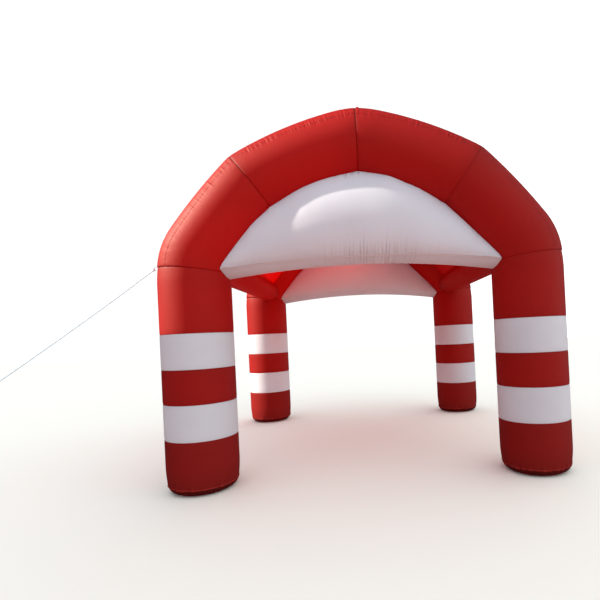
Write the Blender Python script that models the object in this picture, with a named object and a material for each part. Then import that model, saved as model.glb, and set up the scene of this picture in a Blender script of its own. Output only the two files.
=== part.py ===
"""An inflatable arch tent: two arches on four legs, two side beams, two headers, a roof sheet and a guy rope.

It stands on the XY plane with the middle of its plan over the origin, and its front faces -Y. An arch is
worked out in its own plane, with u along the span and z up. Its left half is mirrored to give the right half.
"""
import math

import bmesh
import bpy
from mathutils import Matrix, Vector

# Driving dimensions, in metres
HALF_SPAN = 1.77          # from the middle of the tent to the axis of a leg
HALF_DEPTH = 1.77         # from the middle of the tent to the plane of an arch
TUBE_R = 0.365            # radius of legs and arches at their fullest
GAP = 0.0003              # left between pieces that touch
SIDES = 24                # flat faces round a tube
PINCH = 0.010             # how far a seam draws the arch tubes in
PINCH_RUN = 0.100         # length over which the top of a leg is drawn in

FOOT_ROUND = 0.075        # radius of the edge of a foot
BAND_LOW = 0.548          # lower edge of the low white band
BAND_LOW_TOP = 0.908
BAND_HIGH = 1.257
BAND_HIGH_TOP = 1.612

ELBOW_FOOT = 2.215        # height at which a leg starts to bend inwards
ELBOW_R = 0.49            # radius of that bend, on the axis
ELBOW_TURN = 37.0         # degrees that the bend turns through
RING_SEAM = 6.0           # degrees into the bend at which leg and arch are sewn together
HAUNCH_TOP = (1.115, 3.145)   # axis where haunch and crown meet, as span and height
HAUNCH_SHARE = 0.78       # share of the haunch at which it has a ring between bend and top
APEX = 3.545              # axis height at the middle of the arch
CROWN_BOW = 0.047         # how far a crown's axis bows up from its chord
CROWN_SHARES = (0.22, 0.5, 0.78)   # shares of the crown at which it has rings

HEADER_STEPS = 2          # tube faces from the innermost line to a header's seam
HEADER_SEAT = 0.0009      # between the headers and the arches, whose faces are a little twisted
HEADER_RISE = 0.075       # how much higher its lower seam is at mid-span
HEADER_CROWN = 0.22       # how far its faces swell
HEADER_FULLNESS = 0.6     # lower is a boxier pillow: the power to which a face's swell is raised
HEADER_ROWS = (0.10, 0.32, 0.62, 0.88)   # shares of a face's height at which its swell is worked out
GUSSET_SAG = 0.055        # how far its bottom strip swells down at mid-span
GUSSET_END = 0.030        # how much further it swells down towards the ends

BEAM = (1.645, 2.382)     # axis of a side beam, as distance from the middle and height
BEAM_R = 0.172
BEAM_SEAT = 0.0012        # between a beam's end and the arch

ROOF_ANGLE = 105          # degrees round the arch tube from its top to the roof's edge, on one of its corners
ROOF_DIP = 0.030          # how far the sheet is drawn in half way between the arches
ROOF_ROWS = 6
ROOF_THICK = 0.002
ROOF_SEAT = 0.0006        # from an arch to the sheet's edge
ROOF_FOOT = 0.0016        # from a beam to the middle of the sheet

GUY_ROUTE = (             # the rope's middle, from the hitch at the ring seam down to its end knot
    (-2.098, -2.030, 2.245),
    (-2.318, -2.250, 1.986),
    (-2.538, -2.470, 1.733),
    (-2.758, -2.690, 1.486),
    (-2.978, -2.910, 1.245),
)
ROPE_R = 0.005
ROPE_STEPS = 14           # lengths of tube between two points of the route
GUY_ANGLE = 37.5          # degrees round the ring seam from its outermost point to the rope's tab
TAB_BASE = 0.050          # height of the tab where it is sewn on
TAB_TIP_R = 0.012
TAB_TURN = 70             # degrees that its tip turns to each side of the rope
TAB_STEPS = 6
TAB_WIDTH = 0.025
TAB_THICK = 0.003
KNOT = (0.015, 0.011)     # half the length and half the thickness of a knot
EYE = (0.034, 0.020)      # half the length and half the width of the end loop, on the rope's middle
EYE_STEPS = 20

RED = (0.42, 0.010, 0.012)
WHITE = (0.72, 0.72, 0.75)
ROPE_GREY = (0.55, 0.58, 0.62)


def clear_scene():
    for old in list(bpy.data.objects):
        bpy.data.objects.remove(old)


def cloth(name, colour, roughness):
    material = bpy.data.materials.new(name)
    material.use_nodes = True
    shader = material.node_tree.nodes["Principled BSDF"]
    shader.inputs["Base Color"].default_value = (*colour, 1.0)
    shader.inputs["Roughness"].default_value = roughness
    shader.inputs["Metallic"].default_value = 0.0
    return material


def place(name, mesh, material, turned=False):
    """Put a piece in the scene, turned half round about the tent's middle if it belongs to the back."""
    piece = bpy.data.objects.new(name, mesh)
    bpy.context.scene.collection.objects.link(piece)
    piece.rotation_euler = (0.0, 0.0, math.pi if turned else 0.0)
    if not mesh.materials:
        mesh.materials.append(material)
    return piece


def finish_mesh(name, bm, sharp=30.0):
    """Turn a bmesh into a mesh with its faces pointing out."""
    bmesh.ops.recalc_face_normals(bm, faces=bm.faces)
    mesh = bpy.data.meshes.new(name)
    bm.to_mesh(mesh)
    bm.free()
    mesh.shade_smooth()
    mesh.set_sharp_from_angle(angle=math.radians(sharp))
    return mesh


def skin_rings(bm, rings, cap=True):
    """Join rings of points into a tube, with flat caps at its ends."""
    rows = [[bm.verts.new(point) for point in ring] for ring in rings]
    count = len(rows[0])
    for low, high in zip(rows, rows[1:]):
        for i in range(count):
            j = (i + 1) % count
            bm.faces.new((low[i], low[j], high[j], high[i]))
    if cap:
        bm.faces.new(list(reversed(rows[0])))
        bm.faces.new(rows[-1])
    return rows


def mirrored(mesh, name):
    """The same piece for the right half."""
    bm = bmesh.new()
    bm.from_mesh(mesh)
    bmesh.ops.transform(bm, matrix=Matrix.Scale(-1.0, 4, (1.0, 0.0, 0.0)), verts=bm.verts)
    bmesh.ops.reverse_faces(bm, faces=bm.faces)
    return finish_mesh(name, bm)


# ---------------------------------------------------------------- tubes


class Ring:
    """One ring of a leg or arch: its centre, its outward direction in the arch's plane, and its radius."""

    def __init__(self, centre, outward, radius):
        self.centre = centre
        self.outward = outward
        self.radius = radius

    def point(self, degrees, extra=0.0):
        """A point round the tube: 0 outermost, 90 on the outside face, 180 innermost, 270 inside the tent."""
        angle = math.radians(degrees)
        reach = (self.radius + extra) * math.cos(angle)
        across = (self.radius + extra) * math.sin(angle)
        u, z = self.centre + self.outward * reach
        return Vector((u, -HALF_DEPTH - across, z))


def tube(name, rings, extra=0.0):
    """A tube through the rings, short of its seams by half a gap."""
    shifts = [GAP / 2] + [0.0] * (len(rings) - 2) + [-GAP / 2]
    loops = []
    for ring, shift in zip(rings, shifts):
        along = Vector((ring.outward.y, 0.0, -ring.outward.x)).normalized() * shift
        loops.append([ring.point(360.0 / SIDES * i, extra) + along for i in range(SIDES)])
    bm = bmesh.new()
    skin_rings(bm, loops)
    return finish_mesh(name, bm)


# ---------------------------------------------------------------- legs


def leg_ring(height, radius=TUBE_R):
    """A level ring round the leg at the front left corner."""
    return Ring(Vector((-HALF_SPAN, height)), Vector((-1.0, 0.0)), radius)


def foot_cup():
    """The lowest panel: a flat sole, a rounded edge, and a wall up to the first band."""
    steps = 4
    rings = []
    for k in range(steps + 1):
        angle = math.pi / 2 * k / steps
        inset = FOOT_ROUND * (1 - math.sin(angle))
        rings.append(leg_ring(FOOT_ROUND * (1 - math.cos(angle)), TUBE_R - inset))
    rings[0].centre.y = -GAP / 2    # the tube is made half a gap short, and the sole rests on the ground
    return tube("foot", rings + [leg_ring(BAND_LOW)])


# ---------------------------------------------------------------- arches


def bowed(start, end, bow, t):
    """Centre and direction on a shallow arc between two points of the axis."""
    chord = end - start
    side = Vector((-chord.y, chord.x)).normalized()
    centre = start + chord * t + side * bow * 4 * t * (1 - t)
    along = chord + side * bow * 4 * (1 - 2 * t)
    return centre, along.normalized()


def mitred(before, after):
    """Outward direction on the plane that halves the angle between two directions."""
    along = (before + after).normalized()
    return Vector((-along.y, along.x)) / along.dot(before)


def square_ring(start, end, bow, t):
    """A ring square to the axis at a share of a segment."""
    centre, along = bowed(start, end, bow, t)
    return Ring(centre, Vector((-along.y, along.x)), TUBE_R)


def elbow_ring(degrees, pinch):
    """A ring at an angle into the bend above a leg."""
    bend = math.radians(degrees)
    outward = Vector((-math.cos(bend), math.sin(bend)))
    middle = Vector((ELBOW_R - HALF_SPAN, ELBOW_FOOT))
    return Ring(middle + outward * ELBOW_R, outward, TUBE_R - pinch)


def half_arch():
    """The rings of the left half of an arch: the haunch from the ring seam, and the crown to the apex.

    The two lists share the ring at the haunch's top.
    """
    top = Vector((-HAUNCH_TOP[0], HAUNCH_TOP[1]))
    apex = Vector((0.0, APEX))
    haunch = [
        elbow_ring(RING_SEAM, PINCH),
        elbow_ring(ELBOW_TURN / 3, PINCH / 2),
        elbow_ring(ELBOW_TURN * 2 / 3, 0.0),
        elbow_ring(ELBOW_TURN, 0.0),
    ]
    # The haunch leaves the bend without a kink, and bows from there to its top
    start = haunch[-1].centre
    rise = math.atan2(top.y - start.y, top.x - start.x)
    bow = (top - start).length * math.tan(math.radians(90.0 - ELBOW_TURN) - rise) / 4
    haunch.append(square_ring(start, top, bow, HAUNCH_SHARE))
    before = bowed(start, top, bow, 1.0)[1]
    after = bowed(top, apex, CROWN_BOW, 0.0)[1]
    haunch.append(Ring(top, mitred(before, after), TUBE_R - PINCH))
    crown = [haunch[-1]] + [square_ring(top, apex, CROWN_BOW, t) for t in CROWN_SHARES]
    last = bowed(top, apex, CROWN_BOW, 1.0)[1]
    crown.append(Ring(apex, mitred(last, Vector((last.x, -last.y))), TUBE_R - PINCH))
    return haunch, crown


# ---------------------------------------------------------------- headers


def header_column(ring, tip, tallest, at_tip):
    """One section of the header, from its lower seam up to the arch.

    It goes round once: along the gusset from inside to outside, up the outside face, back through the
    groove in which the tube lies, and down the inside face.
    """
    step = 360.0 / SIDES
    angles = [180.0 - step * k for k in range(-HEADER_STEPS, HEADER_STEPS + 1)]
    groove = [ring.point(angle, HEADER_SEAT) for angle in angles]
    first = groove[0]
    edge = abs(first.y + HALF_DEPTH)
    out = (first.x / tip.x) ** 2
    seam = tip.z + HEADER_RISE * (1 - out)
    sag = GUSSET_SAG + GUSSET_END * out
    low = []
    for p in groove:
        across = (p.y + HALF_DEPTH) / edge
        u = p.x if at_tip else first.x
        low.append(Vector((u, p.y, seam - sag * (1 - across * across))))
    tall = first.z - seam
    inside = [low[0].lerp(groove[0], w) for w in HEADER_ROWS]
    outside = [low[-1].lerp(groove[-1], w) for w in HEADER_ROWS]
    for w, a, b in zip(HEADER_ROWS, inside, outside):
        swell = HEADER_CROWN * tall / tallest * (4 * w * (1 - w)) ** HEADER_FULLNESS
        a.y += swell
        b.y -= swell
    return low + outside + groove[::-1] + inside[::-1]


def header_mesh(rings):
    """A pillow between the arch and a nearly straight lower seam."""
    edge_angle = 180.0 + 360.0 / SIDES * HEADER_STEPS
    tip = rings[0].point(edge_angle, HEADER_SEAT)
    tallest = rings[-1].point(edge_angle).z - tip.z - HEADER_RISE
    half = [header_column(ring, tip, tallest, ring is rings[0]) for ring in rings]
    other = [[Vector((-p.x, p.y, p.z)) for p in column] for column in half[-2::-1]]
    bm = bmesh.new()
    rows = skin_rings(bm, half + other, cap=False)
    lower = 2 * HEADER_STEPS + 1
    face = len(HEADER_ROWS)
    for row in (rows[0], rows[-1]):
        upper = row[lower + face:2 * lower + face][::-1]
        for k in range(lower - 1):
            bm.faces.new((row[k], row[k + 1], upper[k + 1], upper[k]))
    bmesh.ops.remove_doubles(bm, verts=bm.verts, dist=0.0005)
    return finish_mesh("header", bm, 50.0)


# ---------------------------------------------------------------- side beams


def beam_mesh():
    """A level tube that runs a little way into the arch at each end."""
    loops = []
    for end in (-1, 1):
        y = end * (HALF_DEPTH - TUBE_R / 4)
        loops.append([
            Vector((-BEAM[0] + BEAM_R * math.cos(angle), y, BEAM[1] + BEAM_R * math.sin(angle)))
            for angle in (2.0 * math.pi * i / SIDES for i in range(SIDES))
        ])
    bm = bmesh.new()
    skin_rings(bm, loops)
    return finish_mesh("beam", bm)


def shape_ends(beam, cutters):
    """Shape a beam's ends to the tubes that it is sewn to."""
    for cutter in cutters:
        trim = beam.modifiers.new("end", "BOOLEAN")
        trim.operation = "DIFFERENCE"
        trim.solver = "EXACT"
        trim.object = cutter


def guide(piece):
    """Mark a shape that only cuts others."""
    piece.hide_render = True
    piece.display_type = "WIRE"
    return piece


# ---------------------------------------------------------------- roof


def faceted_radius(radius, angle):
    """Distance from a tube's axis to its flat faces, whose corners start at angle 0."""
    half = math.pi / SIDES
    return radius * math.cos(half) / math.cos(angle % (2 * half) - half)


def roof_profile(rings):
    """The left half of the roof's front edge, from the beam to the apex."""
    line = [ring.point(-ROOF_ANGLE, ROOF_SEAT) for ring in rings]
    beam = Vector((-BEAM[0], 0.0, BEAM[1]))
    for a, b in zip(line, line[1:]):
        beam.y = b.y
        if (b - beam).length < BEAM_R or (a - beam).length > BEAM_R * 2:
            continue
        # Where this stretch leaves the beam's circle
        along = (b - a).normalized()
        foot = (beam - a).dot(along)
        off = (a + along * foot - beam).length
        spoke = a + along * (foot + math.sqrt(BEAM_R ** 2 - off ** 2)) - beam
        reach = faceted_radius(BEAM_R, math.atan2(spoke.z, spoke.x)) + ROOF_FOOT
        return [beam + spoke.normalized() * reach] + line[line.index(b):]
    return line


def roof_mesh(rings):
    """A sheet from arch to arch and from beam to beam, drawn in a little between them."""
    half = roof_profile(rings)
    edges = [-p.y for p in half + half[-2::-1]]
    profile = [Vector((p.x, p.z)) for p in half] + [Vector((-p.x, p.z)) for p in half[-2::-1]]
    across = [Vector((0.0, 0.0))] * len(profile)
    for k in range(1, len(profile) - 1):
        along = (profile[k + 1] - profile[k - 1]).normalized()
        across[k] = Vector((-along.y, along.x))
    across[0] = across[1]
    across[-1] = across[-2]
    bm = bmesh.new()
    sheets = []
    for lift in (ROOF_THICK / 2, -ROOF_THICK / 2):
        sheet = []
        for j in range(ROOF_ROWS + 1):
            share = 2 * j / ROOF_ROWS - 1
            dip = ROOF_DIP * (1 - share * share)
            row = []
            for k, (p, n, edge) in enumerate(zip(profile, across, edges)):
                held = 0.0 if k in (0, len(profile) - 1) else 1.0
                q = p + n * (lift - dip * held)
                row.append(bm.verts.new((q.x, edge * share, q.y)))
            sheet.append(row)
        sheets.append(sheet)
    upper, lower = sheets
    last = len(profile) - 1
    for j in range(ROOF_ROWS):
        for k in range(last):
            bm.faces.new((upper[j][k], upper[j][k + 1], upper[j + 1][k + 1], upper[j + 1][k]))
            bm.faces.new((lower[j][k], lower[j + 1][k], lower[j + 1][k + 1], lower[j][k + 1]))
        bm.faces.new((upper[j][0], upper[j + 1][0], lower[j + 1][0], lower[j][0]))
        bm.faces.new((upper[j][last], lower[j][last], lower[j + 1][last], upper[j + 1][last]))
    for j in (0, ROOF_ROWS):
        for k in range(last):
            bm.faces.new((upper[j][k], lower[j][k], lower[j][k + 1], upper[j][k + 1]))
    return finish_mesh("roof", bm)


# ---------------------------------------------------------------- guy rope


def rope_frame():
    """Directions along the guy rope where it starts, level across it, and square to both."""
    along = (Vector(GUY_ROUTE[1]) - Vector(GUY_ROUTE[0])).normalized()
    across = along.cross(Vector((0.0, 0.0, 1.0))).normalized()
    return along, across, across.cross(along)


def tab_seat(below, seam, above):
    """Where the tab's back lies against the ring seam: its middle, and its directions up, out and level."""
    low, middle, high = [
        (ring.point(GUY_ANGLE - 180.0 / SIDES) + ring.point(GUY_ANGLE + 180.0 / SIDES)) / 2
        for ring in (below, seam, above)
    ]
    low = middle + (low - middle).normalized() * TAB_BASE / 2
    high = middle + (high - middle).normalized() * TAB_BASE / 2
    up = (high - low).normalized()
    level = (seam.point(GUY_ANGLE - 1.0) - seam.point(GUY_ANGLE + 1.0)).normalized()
    outward = up.cross(level)
    proud = max((spot - middle).dot(outward) for spot in (low, middle, high))
    return middle + outward * (proud + GAP), up, outward, level


def tab_mesh(seat, up, outward, level, tip):
    """A loop of webbing, sewn flat against the ring seam and drawn to a round tip by the rope."""
    along, across, lift = rope_frame()
    middle = tip - along * TAB_TIP_R

    def outline(inset):
        """The loop's section, which runs down the leg, out to the tip and back."""
        turns = [math.radians(TAB_TURN * (2 * k / TAB_STEPS - 1)) for k in range(TAB_STEPS + 1)]
        half = TAB_BASE / 2 - inset
        foot = seat + outward * inset
        arc = [middle + (along * math.cos(t) + lift * math.sin(t)) * (TAB_TIP_R - inset) for t in turns]
        return [foot + up * half, foot - up * half] + arc

    bm = bmesh.new()
    sides = []
    for shift in (-TAB_WIDTH / 2, TAB_WIDTH / 2):
        width = [level * shift] * 2 + [across * shift] * (TAB_STEPS + 1)
        lines = [outline(0.0), outline(TAB_THICK)]
        sides.append([[bm.verts.new(p + w) for p, w in zip(line, width)] for line in lines])
    (near_out, near_in), (far_out, far_in) = sides
    count = len(near_out)
    for i in range(count):
        j = (i + 1) % count
        bm.faces.new((near_out[i], near_out[j], far_out[j], far_out[i]))
        bm.faces.new((near_in[i], near_in[j], far_in[j], far_in[i]))
        bm.faces.new((near_out[i], near_out[j], near_in[j], near_in[i]))
        bm.faces.new((far_out[i], far_out[j], far_in[j], far_in[i]))
    return finish_mesh("guy_tab", bm)


def knot_mesh(name, middle):
    """A knot as a rounded lump, longer along the rope."""
    bm = bmesh.new()
    bmesh.ops.create_uvsphere(bm, u_segments=12, v_segments=8, radius=1.0)
    along, across, lift = rope_frame()
    turn = Matrix((across, lift, along)).transposed().to_4x4()
    size = Matrix.Diagonal((KNOT[1], KNOT[1], KNOT[0], 1.0))
    bmesh.ops.transform(bm, matrix=Matrix.Translation(middle) @ turn @ size, verts=bm.verts)
    return finish_mesh(name, bm)


def eye_mesh(middle):
    """The loop at the rope's end: a closed tube round an oval."""
    along, across, lift = rope_frame()
    sides = 8
    bm = bmesh.new()
    rings = []
    for i in range(EYE_STEPS):
        t = 2.0 * math.pi * i / EYE_STEPS
        spoke = along * math.cos(t) + across * math.sin(t)
        centre = middle + along * EYE[0] * math.cos(t) + across * EYE[1] * math.sin(t)
        ring = []
        for k in range(sides):
            s = 2.0 * math.pi * k / sides
            ring.append(bm.verts.new(centre + (spoke * math.cos(s) + lift * math.sin(s)) * ROPE_R))
        rings.append(ring)
    for here, there in zip(rings, rings[1:] + rings[:1]):
        for k in range(sides):
            j = (k + 1) % sides
            bm.faces.new((here[k], here[j], there[j], there[k]))
    return finish_mesh("guy_eye", bm)


def smooth_route(points, steps):
    """Points read from a smooth curve that passes through each point of a route."""
    spots = [Vector(p) for p in points]
    spots = [spots[0] * 2 - spots[1]] + spots + [spots[-1] * 2 - spots[-2]]
    line = []
    for a, b, c, d in zip(spots, spots[1:], spots[2:], spots[3:]):
        for k in range(steps):
            t = k / steps
            bend = (a * 2 - b * 5 + c * 4 - d) * t ** 2 + (b * 3 - a - c * 3 + d) * t ** 3
            line.append(b + ((c - a) * t + bend) / 2)
    return line + [spots[-2]]


def add_guy(below, seam, above, webbing, rope):
    """The tab on the ring seam, the hitch on it, the rope, and the knot and loop at its far end."""
    along = rope_frame()[0]
    start = Vector(GUY_ROUTE[0])
    end = Vector(GUY_ROUTE[-1])
    hitch = start - along * (GAP + KNOT[0])
    knot = end + along * (GAP + KNOT[0])
    eye = knot + along * (KNOT[0] + GAP + ROPE_R + EYE[0])
    tip = hitch - along * (KNOT[0] + GAP)
    place("guy_tab", tab_mesh(*tab_seat(below, seam, above), tip), webbing)
    place("guy_hitch", knot_mesh("guy_hitch", hitch), rope)
    place("guy_knot", knot_mesh("guy_knot", knot), rope)
    place("guy_eye", eye_mesh(eye), rope)
    curve = bpy.data.curves.new("guy_rope", "CURVE")
    curve.dimensions = "3D"
    curve.bevel_depth = ROPE_R
    curve.bevel_resolution = 2
    curve.use_fill_caps = True
    points = smooth_route(GUY_ROUTE, ROPE_STEPS)
    spline = curve.splines.new("POLY")
    spline.points.add(len(points) - 1)
    for spot, point in zip(spline.points, points):
        spot.co = (*point, 1.0)
    place("guy_rope", curve, rope)


def build():
    clear_scene()
    red = cloth("red_coated_cloth", RED, 0.42)
    white = cloth("white_coated_cloth", WHITE, 0.45)
    webbing = cloth("red_webbing", RED, 0.7)
    rope = cloth("grey_rope", ROPE_GREY, 0.7)
    haunch, crown = half_arch()
    rings = haunch + crown[1:]
    post = [
        leg_ring(BAND_HIGH_TOP),
        leg_ring(ELBOW_FOOT - PINCH_RUN),
        leg_ring(ELBOW_FOOT, TUBE_R - PINCH / 2),
    ]
    left = (
        ("leg_{0}_foot", foot_cup(), red),
        ("leg_{0}_band_low", tube("band_low", [leg_ring(BAND_LOW), leg_ring(BAND_LOW_TOP)]), white),
        ("leg_{0}_middle", tube("middle", [leg_ring(BAND_LOW_TOP), leg_ring(BAND_HIGH)]), red),
        ("leg_{0}_band_high", tube("band_high", [leg_ring(BAND_HIGH), leg_ring(BAND_HIGH_TOP)]), white),
        ("leg_{0}_top", tube("top", post + haunch[:1]), red),
        ("arch_{0}_haunch", tube("haunch", haunch), red),
        ("arch_{0}_crown", tube("crown", crown), red),
    )
    for name, mesh, material in left:
        right_mesh = mirrored(mesh, mesh.name + "_right")
        place(name.format("front_left"), mesh, material)
        place(name.format("front_right"), right_mesh, material)
        place(name.format("back_right"), mesh, material, True)
        place(name.format("back_left"), right_mesh, material, True)
    header = header_mesh(rings[1:])
    place("header_front", header, white)
    place("header_back", header, white, True)
    beam = beam_mesh()
    cutter = tube("cutter", post + haunch, BEAM_SEAT)
    cutter_right = mirrored(cutter, "cutter_right")
    for name, turned in (("beam_left", False), ("beam_right", True)):
        cutters = (
            guide(place(name + "_front_cutter", cutter, red, turned)),
            guide(place(name + "_back_cutter", cutter_right, red, not turned)),
        )
        shape_ends(place(name, beam, red, turned), cutters)
    place("roof", roof_mesh(rings), red)
    add_guy(post[-1], haunch[0], haunch[1], webbing, rope)


build()
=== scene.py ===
"""An inflatable arch tent in coated cloth: its panels, seams and folds, its guy rope, and the light on it."""
import math
import random

import bmesh
import bpy
from mathutils import Matrix, Vector


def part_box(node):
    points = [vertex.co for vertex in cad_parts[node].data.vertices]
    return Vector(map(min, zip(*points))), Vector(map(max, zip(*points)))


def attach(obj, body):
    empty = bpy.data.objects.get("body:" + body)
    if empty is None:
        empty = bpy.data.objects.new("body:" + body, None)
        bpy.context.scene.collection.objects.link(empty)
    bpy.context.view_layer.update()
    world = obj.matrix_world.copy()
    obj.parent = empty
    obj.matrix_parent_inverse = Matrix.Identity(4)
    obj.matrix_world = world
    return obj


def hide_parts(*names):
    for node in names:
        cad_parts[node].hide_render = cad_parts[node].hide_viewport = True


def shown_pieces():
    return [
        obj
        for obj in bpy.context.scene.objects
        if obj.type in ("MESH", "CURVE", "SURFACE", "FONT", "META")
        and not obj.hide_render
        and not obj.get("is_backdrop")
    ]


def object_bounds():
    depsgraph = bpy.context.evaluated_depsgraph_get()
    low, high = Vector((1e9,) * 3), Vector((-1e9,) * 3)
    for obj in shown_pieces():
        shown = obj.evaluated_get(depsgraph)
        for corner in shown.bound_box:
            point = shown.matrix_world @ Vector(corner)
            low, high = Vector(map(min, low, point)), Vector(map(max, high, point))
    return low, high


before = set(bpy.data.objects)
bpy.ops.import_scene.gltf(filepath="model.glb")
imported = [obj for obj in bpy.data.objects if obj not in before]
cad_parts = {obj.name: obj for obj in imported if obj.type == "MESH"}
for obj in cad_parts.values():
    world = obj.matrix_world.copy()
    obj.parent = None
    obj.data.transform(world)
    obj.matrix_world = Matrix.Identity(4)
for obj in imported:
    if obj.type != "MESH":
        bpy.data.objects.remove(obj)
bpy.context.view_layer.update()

# ---------------------------------------------------------------- legs
# Four upright tubes, each sewn from five panels of coated polyester, red and white by turns. Air holds
# them round. Every seam draws the cloth in a little and puckers it, and the lowest panel closes on a
# round sole that the air presses flat on the ground.

foot_low, foot_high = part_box("leg_front_left_foot")
TUBE_R = (foot_high.x - foot_low.x) / 2
HALF_SPAN = -(foot_high.x + foot_low.x) / 2
HALF_DEPTH = -(foot_high.y + foot_low.y) / 2
GAP = 0.0003                 # between one panel and the next

RED = (0.34, 0.0030, 0.0045)
# the red cloth painted darker for the feet: painted shade low down near the ground
RED_FOOT_SHADED = (0.25, 0.0030, 0.0045)
RED_SEAM_SHADE = (0.075, 0.0015, 0.002)   # painted shade in the fold of a seam, where the doubled cloth lets less light through
SOLE_SEAM_HIGHLIGHT = (0.42, 0.030, 0.024)    # painted highlight along the edge of the sole's seam
RED_COAT = {                 # what the cloth lets through, its thread, and its sheen
    "glow": (0.90, 0.006, 0.005),
    "thread_colour": (0.20, 0.004, 0.004),
    "sheen": (1.0, 0.64, 0.47),
}
WHITE = (0.76, 0.80, 0.84)
# painted shade in a white seam's fold, where the doubled cloth lets less light through
WHITE_SEAM_SHADE = (0.55, 0.54, 0.59)
WHITE_COAT = {
    "glow": (0.80, 0.78, 0.82),
    "thread_colour": (0.66, 0.65, 0.68),
    "sheen": (1.0, 1.0, 1.0),
}
RED_THIN = 0.32              # share of the light that shines through
FOOT_THIN = 0.22
WHITE_THIN = 0.30
CLOTH_ROUGHNESS = (0.55, 0.65)      # where the dye is darkest and lightest
CLOTH_SPECULAR = 0.4

THREAD = 0.0011              # width of one thread of the weave
STITCH = 0.0045              # length of a stitch with the space after it
STITCH_SHARE = 0.36          # half of the share of it that is thread
STITCH_WIDTH = 0.00088       # half the width of a stitch
STITCH_COVER = 0.8           # how much of the cloth a stitch hides
SEAM_ROWS = (0.005, 0.011)   # distances of the stitched rows from a seam
SEAM_FOLD = 0.008            # distance from a seam in which its painted tone shows: shade in a fold, a highlight on the header's bottom seam and a sole's seam
FOLD_EDGE = 0.6              # lower gives that painted tone a sharper edge
DYE_RANGE = (0.93, 1.07)     # how uneven the dye is
DYE_GRAIN = (2.3, 3.0)       # blotches to a metre, and how ragged they are
SCUFF_RUN = 0.05             # distance from a seam in which the cloth is rubbed
SCUFF_SHARE = 0.16
SCUFF_TINT = 0.55
SCUFF_GRAIN = (38.0, 4.0)
DUST = (0.09, 0.022, 0.018)
DUST_TOP = 0.30              # height to which dust clings to a foot
DUST_SHARE = 0.5
DUST_GRAIN = (14.0, 5.0)
# painted shade on a foot below its sole's seam, where the wall turns in towards the ground
SOLE_SHADE = (0.030, 0.004, 0.004)
SOLE_SHADE_SHARE = 0.85
SOLE_SHADE_TOP = 0.094        # height to which that painted shade reaches at most
SOLE_RAGGED = 0.05           # how far down its edge wanders from there
SOLE_GRAIN = (22.0, 3.0)
CREASE_EDGE = 1.5            # higher keeps the shade deeper inside a crease
CREASE_SHARE = 0.75
MILLIMETRE = 0.001
WEAVE_RELIEF = 0.035         # these four are heights in millimetres
STITCH_RELIEF = 0.35
RIPPLE_RELIEF = 1.5
RUMPLE_RELIEF = 0.16
RIPPLE_GRAIN = (9.0, 3.0)
RUMPLE_GRAIN = (42.0, 2.0)
SIDE_GROOVE = {"left": 1.0, "right": 0.5}    # how deep the cross seams lie on each side
SEAM_FAINT = 0.003           # how much of a seam's painted shade is hidden at a flat seam between two bands
SIDE_FAINT = {1.0: 0.0, -1.0: 0.0063}    # the same at the deep seams of the tent's left and right half; the right half, away from the lamp, gets less painted shade

CLOTH_SHARP = 50.0           # degrees between two faces at which an edge looks sharp
LEG_SIDES = 128
LEG_ROWS = 26
RING_ROWS = 8
SOLE_ROWS = 9
WALL_ROWS = 14
WALL_CURVE = 1.3             # higher puts more rows near the sole's seam
PUCKER_WAVES = 6             # waves that make up a ring of puckers
PUCKER_SIZES = (0.4, 1.0)
PUCKER_PEAK = 2.6            # usual height of their sum
PUCKER_END = 5               # times their reach at which nothing of them is left
BAND_PUCKERS = (60, 0.0006, 0.010)  # how many go round the tube, how deep, and how far they reach
RING_PUCKERS = (44, 0.0016, 0.030)
SOLE_PUCKERS = (28, 0.0170, 0.018)
BAND_PINCH = 0.0030          # how far a seam between two bands draws the tube in
BAND_RUN = 0.035             # length over which it does so
RING_PINCH = 0.010           # the same where a leg meets its arch
RING_RUN = 0.150
GROOVE_DEPTH = 0.0045        # the narrow fold at the seams between the arch's parts
GROOVE_RUN = 0.011
SOLE_SEAM = 0.078            # height of the seam round the sole
SOLE_SEAM_IN = 0.018         # how far that seam lies inside the tube's full radius
SOLE_IN = 0.125              # how far inside it the flat of the sole begins
SOLE_RIM = 0.004             # width of that flat's edge, which doesn't pucker
FOOT_TAPER = 0.300           # height from which the wall starts to draw in
FOOT_CURVE = 2.4             # higher is a wall that draws in nearer the seam
ELBOW_FOOT = 2.215           # height at which a leg starts to bend inwards
ELBOW_R = 0.49               # radius of that bend, on the axis
RING_SEAM = 6.0              # degrees into the bend at which leg and arch are sewn together

sides_of_tent = {"left": 1.0, "right": -1.0}
ends_of_tent = {"front": 1.0, "back": -1.0}


def link(tree, *pairs):
    """Join outputs to inputs in a node tree."""
    for out, into in pairs:
        tree.links.new(out, into)


def sum_up(tree, operation, *values, clamp=False):
    """A Math node on sockets or plain numbers, and its output."""
    node = tree.nodes.new("ShaderNodeMath")
    node.operation = operation
    node.use_clamp = clamp
    for socket, value in zip(node.inputs, values):
        if isinstance(value, (int, float)):
            socket.default_value = value
        else:
            tree.links.new(value, socket)
    return node.outputs[0]


def times(tree, first, second):
    """The product of two sockets or numbers."""
    return sum_up(tree, "MULTIPLY", first, second)


def fading(tree, distance, run):
    """One at no distance, which falls evenly to nothing at the end of a run."""
    return sum_up(tree, "SUBTRACT", 1.0, sum_up(tree, "DIVIDE", distance, run), clamp=True)


def mix_colours(tree, share, first, second):
    """A blend of two colours, each a socket or plain numbers, and its output."""
    node = tree.nodes.new("ShaderNodeMix")
    node.data_type = "RGBA"
    for socket, value in ((node.inputs[0], share), (node.inputs[6], first), (node.inputs[7], second)):
        if isinstance(value, tuple):
            socket.default_value = (*value, 1.0)
        elif isinstance(value, (int, float)):
            socket.default_value = value
        else:
            tree.links.new(value, socket)
    return node.outputs[2]


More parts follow.
